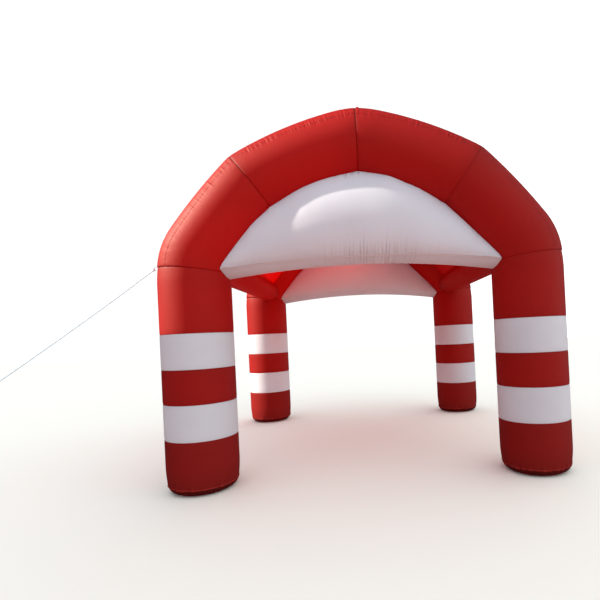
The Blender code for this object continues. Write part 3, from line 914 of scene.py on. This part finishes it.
# painted highlight on the raised edge along the bottom seam
HEADER_SEAM_HIGHLIGHT = (0.94, 1.00, 1.00)
HEADER_SHADE = (0.46, 0.42, 0.42)    # in the depth of a fold
HEADER_THIN = 0.34
HEADER_WELT = 0.008          # how far the raised edge along the bottom seam stands out
WELT_HALF = 0.005            # half the height of that edge
SEAM_STRETCH = 0.6           # lower makes the bottom seam's painted highlight and its stitches taller
FOLD_DEPTH = 0.018
FOLD_SHARES = {"header_front": 1.0, "header_back": 0.3}
FOLD_REACH = 0.35            # distance from an edge at which no fold is left
FOLD_START = 0.012           # distance from it in which a fold reaches its full depth
GUSSET_FADE = 0.35           # how fast folds fade across the strip, next to how fast they do up a face
GUSSET_FOLD = 0.6            # how deep they are there, next to how deep on a face
LOW_FOLDS = {                # along the bottom seam, from one end of their span to the other
    "span": 1.30,
    "steps": (0.017, 0.046),     # least and most from one fold to the next
    "sizes": (0.35, 0.9),
    "least": 0.12,               # how strong they are far from the place where they are strongest
    "middle": 0.18,              # that place
    "spread": 0.52,
    "widths": (0.0052, 0.0068),
    "reaches": (0.05, 0.14),     # how far they run from the seam
}
HIGH_FOLDS = {               # along the arch
    "span": 1.20,
    "steps": (0.02, 0.06),
    "sizes": (0.2, 1.0),
    "least": 0.25,
    "middle": 0.0,
    "spread": 0.25,
    "widths": (0.009, 0.015),
    "reaches": (0.02, 0.07),
}


def header_tops(start):
    """Stations of half an arch that carry the header, from its tip to the apex."""
    first = round(ELBOW_R * math.radians(start - RING_SEAM) / HEADER_STEP)
    haunch, crown = arch_stations(HEADER_STEP)
    return haunch[first:] + crown[1:]


def groove_point(station, degrees):
    """A point of the header's top, which lies against the arch."""
    centre, outward, _, radius = station
    angle = math.radians(degrees)
    reach = radius + HEADER_SEAT
    u, z = centre + outward * reach * math.cos(angle)
    return Vector((u, -HALF_DEPTH - reach * math.sin(angle), z))


def header_columns(across):
    """Sections of one half, from its tip to the apex: strip, groove, height there, and the most height."""
    stations = header_tops(HEADER_STARTS[-across])
    tip = groove_point(stations[0], 180.0 - HEADER_EDGE)
    middle = groove_point(header_tops(HEADER_STARTS[-1.0])[0], 180.0 - HEADER_EDGE).z + HEADER_RISE
    tallest = groove_point(stations[-1], 180.0 - HEADER_EDGE).z - middle
    columns = []
    for station in stations:
        edge = header_edge(station[0].x * across)
        turns = [180.0 + edge * (1.0 - 2.0 * k / GROOVE_ROWS) for k in range(GROOVE_ROWS + 1)]
        groove = [groove_point(station, turn) for turn in turns]
        outer = groove[-1]
        out = (outer.x / tip.x) ** 2
        seam = tip.z + (middle - tip.z) * (1.0 - out)
        swell = min(1.0, TIP_RISE * (1.0 - abs(outer.x / tip.x)) ** 0.5 + TIP_SAG)
        sag = (GUSSET_SAG + GUSSET_END * out) * swell
        half_depth = TUBE_R * math.sin(math.radians(HEADER_EDGE))
        strip = []
        for k in range(GUSSET_ROWS + 1):
            share = 2.0 * k / GUSSET_ROWS - 1.0
            z = seam - sag * (1.0 - share * share)
            strip.append(Vector((outer.x, -HALF_DEPTH - half_depth * share, z)))
        tall = max(0.0, outer.z - seam)
        columns.append((strip, groove, tall, tallest))
    return columns


def eased(tops):
    """The header's top edge with the arch's corners evened out."""
    soft = []
    for top in tops:
        near = [(other, 1.0 - abs(other.x - top.x) / HEADER_EASE) for other in tops
                if abs(other.x - top.x) < HEADER_EASE]
        total = sum(share for _, share in near)
        middle = sum((other * share for other, share in near), Vector()) / total
        edge = min(1.0, (abs(tops[0].x) - abs(top.x)) / HEADER_EASE)
        soft.append(Vector((top.x, *(top.lerp(middle, edge)).yz)))
    return soft


def header_face(low, high, soft, tall, tallest, outward, wrinkle):
    """Points up one face of the header from its bottom seam, each with how deep in a fold it is."""
    points = []
    puffed = max(0.0, soft.z - low.z) / tallest
    for k in range(1, HEADER_ROWS):
        w = (1.0 - math.cos(math.pi * k / HEADER_ROWS)) / 2
        spot = low.lerp(soft.lerp(high, w ** HEADER_HOLD), w)
        swell = HEADER_CROWN * puffed * (4.0 * w * (1.0 - w)) ** HEADER_FULLNESS
        welt = HEADER_WELT * math.exp(-((w * tall - WELT_HALF) / WELT_HALF) ** 2)
        fold = wrinkle(spot.x, w * tall, (1.0 - w) * tall)
        spot.y += outward * (swell + welt - FOLD_DEPTH * fold)
        points.append((spot, fold))
    return points


def fold_row(draw, span, steps, sizes, least, middle, spread, widths, reaches):
    """Folds along one edge of a header: the place, half width, size and reach of each."""
    folds = []
    u = -span
    while u < span:
        u += draw.uniform(*steps)
        size = draw.uniform(*sizes) * (least + math.exp(-((u - middle) / spread) ** 2))
        folds.append((u, draw.uniform(*widths), size, draw.uniform(*reaches)))
    return folds


def header_wrinkles(name):
    """How deep in a fold a point is, from its place along the header and its distances from both edges."""
    draw = random.Random(name)
    bottom = fold_row(draw, **LOW_FOLDS)
    top = fold_row(draw, **HIGH_FOLDS)

    def height(u, up, down):
        rise = 0.0
        for folds, away in ((bottom, up), (top, down)):
            if away > FOLD_REACH:
                continue
            for spot, width, size, reach in folds:
                off = (u - spot) / width
                if abs(off) < FOLD_SPREAD:
                    size *= math.exp(-off * off)
                    rise += size * math.exp(-(away / reach) ** 2) * min(1.0, away / FOLD_START)
        return rise * FOLD_SHARES[name]

    return height


def header_piece(name, depth):
    """One closed pillow: rings of strip, outside face, groove and inside face, from tip to tip."""
    wrinkle = header_wrinkles(name)
    flip = Vector((-1.0, 1.0, 1.0))
    whole = header_columns(1.0)
    for strip, groove, tall, tallest in header_columns(-1.0)[-2::-1]:
        whole.append(([p * flip for p in strip], [p * flip for p in groove], tall, tallest))
    bm, uv, seam = new_cloth()
    # Each point's depth in a fold, which also sets the painted shade in it
    folded = bm.verts.layers.float.new("fold")
    rows = []
    soft_out = eased([groove[-1] for _, groove, _, _ in whole])
    soft_in = eased([groove[0] for _, groove, _, _ in whole])
    for (strip, groove, tall, tallest), front, rear in zip(whole, soft_out, soft_in):
        outside = header_face(strip[-1], groove[-1], front, tall, tallest, -1.0, wrinkle)
        inside = header_face(strip[0], groove[0], rear, tall, tallest, 1.0, wrinkle)
        edges = (strip[0], strip[-1])
        section = []
        for point in strip:
            fold = wrinkle(point.x, GUSSET_FADE * min((point - end).length for end in edges), math.inf)
            section.append((point + Vector((0.0, 0.0, GUSSET_FOLD * FOLD_DEPTH * fold)), fold))
        section += outside + [(point, 0.0) for point in groove[::-1]] + inside[::-1]
        row = []
        for point, fold in section:
            vert = bm.verts.new((point.x, point.y * depth, point.z))
            vert[folded] = fold
            below = min((point - end).length for end in edges)
            above = min((point - end).length for end in (groove[0], groove[-1]))
            vert[seam] = min(below * SEAM_STRETCH, above + SEAM_FOLD)
            row.append(vert)
        rows.append(row)
    skin(bm, uv, rows, lambda vert, k, j: (vert.co.x, vert.co.z))
    for row in (rows[0], rows[-1]):
        bmesh.ops.triangulate(bm, faces=[bm.faces.new(row)])
    bmesh.ops.remove_doubles(bm, verts=bm.verts, dist=HEADER_WELD)
    return finish_piece(name, bm, HEADER_SHARP)


header_cloth = coated_cloth("header_cloth", HEADER_WHITE, HEADER_THIN, HEADER_SEAM_HIGHLIGHT, **WHITE_COAT,
                            shade=HEADER_SHADE)
for end, depth in ends_of_tent.items():
    finish_with(header_piece("header_" + end, depth), header_cloth)

# ---------------------------------------------------------------- roof
# One sheet of red cloth spans from arch to arch and from beam to beam. It is sewn along the inside of the
# arches and on top of the beams, and pulled tight, so that it dips a little between the arches.

ROOF_ANGLE = 105.0           # degrees round the arch tube from its top to the roof's edge
ROOF_DIP = 0.030             # how far the sheet is drawn in half way between the arches
ROOF_THICK = 0.002
ROOF_FOOT = 0.0016           # from a beam to the middle of the sheet
ROOF_COLUMNS = 56
ROOF_EASE = 0.45             # span over which the arches' corners even out in the sheet
ROOF_STEP = 0.035
ROOF_SEAT = 0.0006           # between the cloth's middle and the arches
ROOF_CLEAR = 0.01            # least distance between a beam and the cloth above its foot
ROOF_WAVES = 7               # small waves that run in from the arches
WAVE_NUMBERS = (9.0, 34.0)   # least and most radians of a wave to a metre
WAVE_SIZES = (0.4, 1.0)
WAVE_RISE = 0.0022
WAVE_RUN = 0.28              # distance from an arch in which they die out
WAVE_START = 0.02            # and in which they begin
ROOF_SWELLS = 5              # slow swells over the whole sheet
SWELL_ACROSS = (2.0, 7.0)    # radians to a metre from left to right, and from front to back
SWELL_ALONG = (1.5, 5.0)
SWELL_RISE = 0.0024
SWELL_START = 0.3            # distance from an arch in which they begin
WAVE_TURN = 6.28             # radians between the first and the last place where a wave may start
ROOF_THIN = 0.43


def roof_profile():
    """The roof's front edge from the left beam over the top to the right one."""
    haunch, crown = arch_stations(ROOF_STEP)
    angle = math.radians(-ROOF_ANGLE)
    line = []
    for centre, outward, _, radius in haunch + crown[1:]:
        reach = radius + ROOF_SEAT
        u, z = centre + outward * reach * math.cos(angle)
        line.append(Vector((u, -HALF_DEPTH - reach * math.sin(angle), z)))
    beam = Vector((-BEAM_SPAN, 0.0, BEAM_HEIGHT))
    least = BEAM_R + ROOF_CLEAR
    high = [p for p in line if p.z > BEAM_HEIGHT and (Vector((p.x, 0.0, p.z)) - beam).length > least]
    spoke = (Vector((high[0].x, 0.0, high[0].z)) - beam).normalized()
    first = beam + spoke * (BEAM_R + ROOF_FOOT)
    first.y = high[0].y
    left = [first] + high
    return left + [Vector((-p.x, p.y, p.z)) for p in left[-2::-1]]


def roof_piece(name):
    """A closed thin sheet, with its depth and its length once it is laid flat."""
    profile = roof_profile()
    last = len(profile) - 1
    normals = []
    for k in range(last + 1):
        a, b = profile[max(0, k - 1)], profile[min(last, k + 1)]
        along = Vector((b.x - a.x, 0.0, b.z - a.z)).normalized()
        normals.append(Vector((-along.z, 0.0, along.x)))
    draw = random.Random(name)
    waves = []
    for _ in range(ROOF_WAVES):
        waves.append((draw.uniform(*WAVE_NUMBERS), draw.uniform(0.0, WAVE_TURN), draw.uniform(*WAVE_SIZES)))
    swells = []
    for _ in range(ROOF_SWELLS):
        swells.append((draw.uniform(*SWELL_ACROSS), draw.uniform(*SWELL_ALONG), draw.uniform(0.0, WAVE_TURN)))
    runs = [0.0]
    for a, b in zip(profile, profile[1:]):
        runs.append(runs[-1] + (b - a).length)
    soft = []
    for k, here in enumerate(runs):
        near = []
        for p, run in zip(profile, runs):
            if abs(run - here) < ROOF_EASE:
                near.append((p, 1.0 - abs(run - here) / ROOF_EASE))
        middle = sum((p * share for p, share in near), Vector()) / sum(share for _, share in near)
        soft.append(profile[k].lerp(middle, min(1.0, here / ROOF_EASE, (runs[-1] - here) / ROOF_EASE)))

    def wave_at(run, y, away):
        ripple = sum(size * math.sin(number * run + phase) for number, phase, size in waves)
        small = WAVE_RISE * ripple * math.exp(-away / WAVE_RUN) * min(1.0, away / WAVE_START)
        swell = sum(math.sin(across * run + along * y + phase) for across, along, phase in swells)
        return small + SWELL_RISE * min(1.0, away / SWELL_START) * swell

    bm, uv, seam = new_cloth()
    sheets = []
    for lift in (ROOF_THICK / 2, -ROOF_THICK / 2):
        sheet = []
        for share in even_run(-1.0, 1.0, ROOF_COLUMNS):
            free = 1.0 - share * share
            row = []
            for k, (p, normal) in enumerate(zip(profile, normals)):
                held = 0.0 if k in (0, last) else 1.0
                away = abs(p.y) * (1.0 - abs(share))
                y = -p.y * share
                dip = (ROOF_DIP * free + wave_at(runs[k], y, away)) * held
                spot = p.lerp(soft[k], free ** 0.5) + normal * (lift - dip)
                vert = bm.verts.new((spot.x, y, spot.z))
                vert[seam] = min(away, abs(runs[k] - runs[-1] / 2) + SEAM_FAINT)
                row.append(vert)
            sheet.append(row)
        sheets.append(sheet)
    upper, lower = sheets

    def quad(a, b, c, d):
        face = bm.faces.new((a, b, c, d))
        for loop in face.loops:
            loop[uv].uv = (loop.vert.co.y, loop.vert.co.x)

    for j in range(ROOF_COLUMNS):
        for k in range(last):
            quad(upper[j][k], upper[j][k + 1], upper[j + 1][k + 1], upper[j + 1][k])
            quad(lower[j][k], lower[j + 1][k], lower[j + 1][k + 1], lower[j][k + 1])
        for k in (0, last):
            quad(upper[j][k], upper[j + 1][k], lower[j + 1][k], lower[j][k])
    for j in (0, ROOF_COLUMNS):
        for k in range(last):
            quad(upper[j][k], lower[j][k], lower[j][k + 1], upper[j][k + 1])
    return finish_piece(name, bm), 2.0 * abs(profile[last // 2].y), runs[-1]


roof, roof_depth, roof_length = roof_piece("roof")
roof_cloth = coated_cloth("roof_cloth", RED, ROOF_THIN, RED_SEAM_SHADE, **RED_COAT)
finish_with(roof, roof_cloth)

# ---------------------------------------------------------------- guy rope
# A grey three-strand rope holds the front left corner down. It is hitched to a loop of red webbing on the
# ring seam, runs outwards and down, and ends above the ground in a knot and a tied loop.

GUY_ROUTE = (
    (-2.098, -2.030, 2.245),
    (-2.318, -2.250, 1.986),
    (-2.538, -2.470, 1.733),
    (-2.758, -2.690, 1.486),
    (-2.978, -2.910, 1.245),
)
ROPE_R = 0.005
ROPE_LAY = 0.045             # length in which the strands go once round
STRANDS = 3
ROPE_SIDES = 18
ROPE_STEPS = (10, 150)       # steps from point to point of the route, for its length and for its mesh
ROPE_SHARP = 80.0
STRAND_GAP = 0.20            # share of the radius that the gaps between its strands go in
KNOT = (0.015, 0.011)        # half the length and half the thickness of a knot
KNOT_ROPE = 0.0038           # radius of the rope where a knot squeezes it
KNOT_STEPS = 120
KNOT_INSET = (0.003, 0.005)  # from the knot's size to the middle of its rope, along and through it
KNOT_FLAT = 0.8
EYE = (0.034, 0.020)         # half the length and half the width of the end loop
EYE_STEPS = 72
GUY_ANGLE = 37.5             # degrees round the ring seam from its outermost point to the tab
TAB_BASE = 0.050
TAB_TIP_R = 0.012
TAB_WIDTH = 0.025
TAB_THICK = 0.003
TAB_PLY = 0.6                # share of that in one ply of webbing
TAB_SEAT = 0.0022            # from the pinched tube out to the webbing
TAB_BASE_ROWS = 11
TAB_TIP_ROWS = 14
TAB_TIP_TURN = 70.0          # degrees that its tip goes round on each side
TAB_PITCH = 0.005            # length of webbing from row to row
TAB_COLUMNS = (-1.0, -0.92, -0.5, 0.0, 0.5, 0.92, 1.0)      # shares of half its width
ROPE_GREY = (0.68, 0.84, 0.93)
ROPE_SOIL = 0.72
ROPE_GRAIN = (60.0, 4.0)
ROPE_ROUGHNESS = 0.75
FIBRES = (4200.0, 2600.0)    # radians of fibre to a metre, round the rope and along it
FIBRE_RELIEF = 0.0002
RIB = 0.0016                 # from rib to rib and from yarn to yarn of the webbing
YARN = 0.0021
YARN_SHARE = 0.6
WEBBING_SOIL = 0.65
WEBBING_GRAIN = (90.0, 3.0)
WEBBING_ROUGHNESS = 0.7
WEBBING_RELIEF = 0.0003


def smooth_route(points, steps):
    """Points read from a smooth curve that passes through each point of a route."""
    spots = [Vector(p) for p in points]
    spots = [spots[0] * 2 - spots[1]] + spots + [spots[-1] * 2 - spots[-2]]
    line = []
    for a, b, c, d in zip(spots, spots[1:], spots[2:], spots[3:]):
        for k in range(steps):
            t = k / steps
            bend = (a * 2 - b * 5 + c * 4 - d) * t ** 2 + (b * 3 - a - c * 3 + d) * t ** 3
            line.append(b + ((c - a) * t + bend) / 2)
    return line + [spots[-2]]


def length_of(line):
    """Length of a line from point to point."""
    return sum((b - a).length for a, b in zip(line, line[1:]))


def laid_rope(name, line, radius, closed=False):
    """Three strands laid round each other along a line, as one closed surface."""
    count = len(line)
    tangents = []
    for k in range(count):
        before = line[k - 1] if closed or k else line[0]
        after = line[(k + 1) % count] if closed or k < count - 1 else line[-1]
        tangents.append((after - before).normalized())
    side = tangents[0].orthogonal().normalized()
    sides = [side]
    for a, b in zip(tangents, tangents[1:]):
        side = (a.rotation_difference(b) @ side).normalized()
        sides.append(side)
    spare = 0.0
    if closed:
        back = tangents[-1].rotation_difference(tangents[0]) @ sides[-1]
        spare = math.atan2(back.cross(sides[0]).dot(tangents[0]), back.dot(sides[0]))
    length = length_of(line)
    third = 2.0 * math.pi / STRANDS
    turns = round(2.0 * math.pi * length / ROPE_LAY / third) * third
    bm = bmesh.new()
    uv = bm.loops.layers.uv.new("cloth")
    rings = []
    for k, (point, tangent, side) in enumerate(zip(line, tangents, sides)):
        share = k / (count if closed else count - 1)
        over = tangent.cross(side)
        ring = []
        for angle in even_turns(ROPE_SIDES):
            strand = 1.0 - STRAND_GAP + STRAND_GAP * abs(math.cos(STRANDS / 2 * (angle - turns * share)))
            turned = angle + spare * share
            spoke = side * math.cos(turned) + over * math.sin(turned)
            ring.append(bm.verts.new(point + spoke * radius * strand))
        rings.append(ring)
    around = 2.0 * math.pi * radius
    skin(bm, uv, rings, lambda vert, k, j: (around * k / ROPE_SIDES, length * j / count), closed)
    if not closed:
        bm.faces.new(rings[0][::-1])
        bm.faces.new(rings[-1])
    return finish_piece(name, bm, ROPE_SHARP)


def knot_line(middle, along, across, lift):
    """A tight overhand knot, drawn long in the direction of the rope."""
    inset, flat_inset = KNOT_INSET
    points = []
    for t in even_turns(KNOT_STEPS):
        a = (math.sin(t) + 2.0 * math.sin(2.0 * t)) / 3.0
        b = (math.cos(t) - 2.0 * math.cos(2.0 * t)) / 3.0
        c = -math.sin(3.0 * t)
        points.append(middle + along * b * (KNOT[0] - inset) + across * a * (KNOT[1] - inset)
                      + lift * c * (KNOT[1] - flat_inset) * KNOT_FLAT)
    return points


def rope_fibre():
    """Dull twisted fibre, a little soiled."""
    material, tree, shader, place, round_way, long_way = new_material("rope_fibre")
    slant = sum_up(tree, "ADD", times(tree, round_way, FIBRES[0]), times(tree, long_way, FIBRES[1]))
    dark = tuple(ROPE_SOIL * c for c in ROPE_GREY)
    soiled = mix_colours(tree, noise(tree, place, ROPE_GRAIN), ROPE_GREY, dark)
    link(tree, (soiled, shader.inputs["Base Color"]))
    emboss(tree, shader, sum_up(tree, "SINE", slant), FIBRE_RELIEF)
    shader.inputs["Roughness"].default_value = ROPE_ROUGHNESS
    return material


def webbing_weave():
    """Ribbed red webbing, a little soiled."""
    material, tree, shader, place, round_way, long_way = new_material("webbing_weave")
    rib = sum_up(tree, "SINE", times(tree, long_way, 2.0 * math.pi / RIB))
    yarn = sum_up(tree, "SINE", times(tree, round_way, 2.0 * math.pi / YARN))
    dark = tuple(WEBBING_SOIL * c for c in RED)
    soiled = mix_colours(tree, noise(tree, place, WEBBING_GRAIN), RED, dark)
    link(tree, (soiled, shader.inputs["Base Color"]))
    emboss(tree, shader, sum_up(tree, "ADD", rib, times(tree, yarn, YARN_SHARE)), WEBBING_RELIEF)
    shader.inputs["Roughness"].default_value = WEBBING_ROUGHNESS
    return material


def tab_piece(name, tip, along, across, lift):
    """The webbing runs flat along the tube, out to the rope and back, sewn on through its base."""
    centre, direction = elbow(RING_SEAM)
    angle = math.radians(GUY_ANGLE)
    outward = Vector((-direction.y, direction.x))
    u, z = centre + outward * (TUBE_R - RING_PINCH) * math.cos(angle)
    seat = Vector((u, -HALF_DEPTH - (TUBE_R - RING_PINCH) * math.sin(angle), z))
    out = Vector((outward.x * math.cos(angle), -math.sin(angle), outward.y * math.cos(angle))).normalized()
    up = Vector((direction.x, 0.0, direction.y))
    level = up.cross(out).normalized()
    seat += out * TAB_SEAT
    middle = tip - along * TAB_TIP_R

    def outline(inset):
        foot = seat + out * inset
        half = TAB_BASE / 2 - inset
        base = [foot + up * half * (1.0 - 2.0 * k / (TAB_BASE_ROWS - 1)) for k in range(TAB_BASE_ROWS)]
        shares = [2.0 * k / TAB_TIP_ROWS - 1.0 for k in range(TAB_TIP_ROWS + 1)]
        turns = [math.radians(TAB_TIP_TURN * share) for share in shares]
        arc = [middle + (along * math.cos(t) + lift * math.sin(t)) * (TAB_TIP_R - inset) for t in turns]
        return base + arc

    bm = bmesh.new()
    uv = bm.loops.layers.uv.new("cloth")
    sheets = []
    for line in (outline(0.0), outline(TAB_THICK * TAB_PLY)):
        sheet = []
        for share in TAB_COLUMNS:
            row = []
            for k, point in enumerate(line):
                way = level if k < TAB_BASE_ROWS else across
                row.append(bm.verts.new(point + way * share * TAB_WIDTH / 2))
            sheet.append(row)
        sheets.append(sheet)
    for sheet in sheets:
        skin(bm, uv, sheet, lambda vert, k, j: (TAB_COLUMNS[j] * TAB_WIDTH / 2, k * TAB_PITCH))
    for outer, inner in ((sheets[0][0], sheets[1][0]), (sheets[0][-1], sheets[1][-1])):
        skin(bm, uv, [outer, inner], lambda vert, k, j: (j * TAB_THICK, k * TAB_PITCH))
    return finish_piece(name, bm)


coarse, fine = ROPE_STEPS
guy_line = smooth_route(GUY_ROUTE, coarse)
along = (guy_line[1] - guy_line[0]).normalized()
across = along.cross(Vector((0.0, 0.0, 1.0))).normalized()
lift = across.cross(along)
guy_length = length_of(guy_line)
hitch_middle = guy_line[0] - along * (GAP + KNOT[0])
knot_middle = guy_line[-1] + along * (GAP + KNOT[0])
eye_middle = knot_middle + along * (KNOT[0] + GAP + ROPE_R + EYE[0])
eye_line = []
for t in even_turns(EYE_STEPS):
    eye_line.append(eye_middle + along * EYE[0] * math.cos(t) + across * EYE[1] * math.sin(t))

fibre = rope_fibre()
rope = laid_rope("guy_rope", smooth_route(GUY_ROUTE, fine), ROPE_R)
hitch = laid_rope("guy_hitch", knot_line(hitch_middle, along, across, lift), KNOT_ROPE, closed=True)
knot = laid_rope("guy_knot", knot_line(knot_middle, along, across, lift), KNOT_ROPE, closed=True)
eye = laid_rope("guy_eye", eye_line, ROPE_R, closed=True)
for piece in (rope, hitch, knot, eye):
    finish_with(piece, fibre)
tab = tab_piece("guy_tab", hitch_middle - along * (KNOT[0] + GAP), along, across, lift)
finish_with(tab, webbing_weave())
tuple(GUY_ROUTE[0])

# ---------------------------------------------------------------- camera
# The tent is seen from the front, from a little left of its middle. The camera stands at eye height some
# four metres away, looks level and leans a few degrees to one side.

CAMERA_PLACE = (-0.0979, -6.2823, 1.5232)
CAMERA_YAW = 0.0237          # radians to the right of straight ahead
CAMERA_PITCH = 0.0042
CAMERA_ROLL = -0.0488
CAMERA_LENS = 25.37          # millimetres
CAMERA_SENSOR = 36.0
CAMERA_SHIFT = (-0.1101, 0.0538)
CAMERA_REACH = 200.0

ahead = Vector((math.sin(CAMERA_YAW) * math.cos(CAMERA_PITCH),
                math.cos(CAMERA_YAW) * math.cos(CAMERA_PITCH), math.sin(CAMERA_PITCH)))
right = Vector((math.cos(CAMERA_YAW), -math.sin(CAMERA_YAW), 0.0))
head = right.cross(ahead)
rolled_right = right * math.cos(CAMERA_ROLL) + head * math.sin(CAMERA_ROLL)
rolled_head = head * math.cos(CAMERA_ROLL) - right * math.sin(CAMERA_ROLL)
lens = bpy.data.cameras.new("camera")
lens.sensor_width = CAMERA_SENSOR
lens.lens = CAMERA_LENS
lens.shift_x, lens.shift_y = CAMERA_SHIFT
lens.clip_end = CAMERA_REACH
camera = bpy.data.objects.new("camera", lens)
turned = Matrix((rolled_right, rolled_head, -ahead)).transposed()
camera.matrix_world = Matrix.Translation(CAMERA_PLACE) @ turned.to_4x4()
into_scene(camera)
bpy.context.scene.camera = camera

# ---------------------------------------------------------------- floor and light
# The tent stands on a plain pale studio floor in soft light from all round, a little brighter low on the
# right. One warm lamp high on the left shines on the outside of the arches and through the roof, and a weak
# one stands for the red light that the roof lets down on the tent's back half.

FLOOR_HALF = 40.0
FLOOR_PALE = (0.985, 0.92, 0.82)
FLOOR_WARM = (0.83, 0.49, 0.40)      # what the floor sends back up on to the cloth
FLOOR_ROUGHNESS = 0.9
SKY_LEFT = (0.99, 1.04, 1.20)
SKY_RIGHT = (1.05, 1.17, 1.20)
SKY_TILT = 0.80              # how much brighter the low sky is on the right, and darker on the left
BACKDROP = (1.05, 1.05, 1.05)
SHEEN_SHARE = 0.03           # how much of the sky satin cloth mirrors
KEY_FROM = (-0.86, -0.051, 0.56)
KEY_STRENGTH = 10.0
KEY_COLOUR = (1.0, 0.88, 0.76)
KEY_SPREAD = 1.2             # degrees across which it seems to shine
GLOW_PLACE = (-0.6, 0.2, 2.75)       # under the roof
GLOW_SIZE = (1.8, 2.6)
GLOW_TILT = 0.5              # radians, towards the back
GLOW_POWER = 15.0
GLOW_COLOUR = (1.0, 0.10, 0.06)

bm = bmesh.new()
corners = []
for x, y in ((-1, -1), (1, -1), (1, 1), (-1, 1)):
    corners.append(bm.verts.new((x * FLOOR_HALF, y * FLOOR_HALF, 0.0)))
bm.faces.new(corners)
floor_mesh = bpy.data.meshes.new("floor")
bm.to_mesh(floor_mesh)
bm.free()
floor = bpy.data.objects.new("floor", floor_mesh)
floor_paint = bpy.data.materials.new("floor_paint")
floor_paint.use_nodes = True
tree = floor_paint.node_tree
shader = tree.nodes["Principled BSDF"]
ray = tree.nodes.new("ShaderNodeLightPath")
paint = mix_colours(tree, ray.outputs["Is Diffuse Ray"], FLOOR_PALE, FLOOR_WARM)
link(tree, (paint, shader.inputs["Base Color"]))
shader.inputs["Roughness"].default_value = FLOOR_ROUGHNESS
shader.inputs["Specular IOR Level"].default_value = 0.0
floor_mesh.materials.append(floor_paint)
into_scene(floor)
floor.visible_glossy = False
floor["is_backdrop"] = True

world = bpy.data.worlds.new("sky")
world.use_nodes = True
tree = world.node_tree
background = tree.nodes["Background"]
ray = tree.nodes.new("ShaderNodeLightPath")
facing = tree.nodes.new("ShaderNodeTexCoord")
x, _, z = parts_of(tree, facing.outputs["Generated"])
rightward = sum_up(tree, "MULTIPLY_ADD", x, 0.5, 0.5, clamp=True)
sky_colour = mix_colours(tree, rightward, SKY_LEFT, SKY_RIGHT)
seen = mix_colours(tree, ray.outputs["Is Camera Ray"], sky_colour, BACKDROP)
link(tree, (seen, background.inputs["Color"]))
lowness = sum_up(tree, "SUBTRACT", 1.0, z, clamp=True)
tilt = sum_up(tree, "MULTIPLY_ADD", times(tree, x, lowness), SKY_TILT, 1.0)
even = sum_up(tree, "MAXIMUM", tilt, ray.outputs["Is Camera Ray"])
dimmed = sum_up(tree, "MULTIPLY_ADD", ray.outputs["Is Glossy Ray"], SHEEN_SHARE - 1.0, 1.0)
link(tree, (times(tree, even, dimmed), background.inputs["Strength"]))
bpy.context.scene.world = world

key = bpy.data.lights.new("key", "SUN")
key.energy = KEY_STRENGTH
key.angle = math.radians(KEY_SPREAD)
key.color = KEY_COLOUR
key_lamp = bpy.data.objects.new("key", key)
key_lamp.rotation_mode = "QUATERNION"
key_lamp.rotation_quaternion = Vector(KEY_FROM).to_track_quat("Z", "Y")
into_scene(key_lamp)
lit = bpy.data.collections.new("lit_by_key")
shading = bpy.data.collections.new("shading_from_key")
unlit = ("cloth_leg_front_left", "cloth_leg_front_right", "cloth_leg_back_right",
         "cloth_arch_front_right_haunch")
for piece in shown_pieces():
    if piece.name == "cloth_leg_front_left_top" or not piece.name.startswith(unlit):
        lit.objects.link(piece)
    if piece not in (rope, hitch, knot, eye, tab):
        shading.objects.link(piece)
key_lamp.light_linking.receiver_collection = lit
key_lamp.light_linking.blocker_collection = shading

glow = bpy.data.lights.new("roof_glow", "AREA")
glow.shape = "RECTANGLE"
glow.size, glow.size_y = GLOW_SIZE
glow.energy = GLOW_POWER
glow.color = GLOW_COLOUR
glow_lamp = bpy.data.objects.new("roof_glow", glow)
glow_lamp.location = GLOW_PLACE
glow_lamp.rotation_euler = (GLOW_TILT, 0.0, 0.0)
glow_lamp.visible_camera = False
glow_lamp.visible_glossy = False
into_scene(glow_lamp)
warmed = bpy.data.collections.new("warmed_by_roof")
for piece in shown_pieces():
    if "_back" in piece.name:
        warmed.objects.link(piece)
glow_lamp.light_linking.receiver_collection = warmed
bpy.context.scene.view_settings.view_transform = "Standard"

low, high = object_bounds()
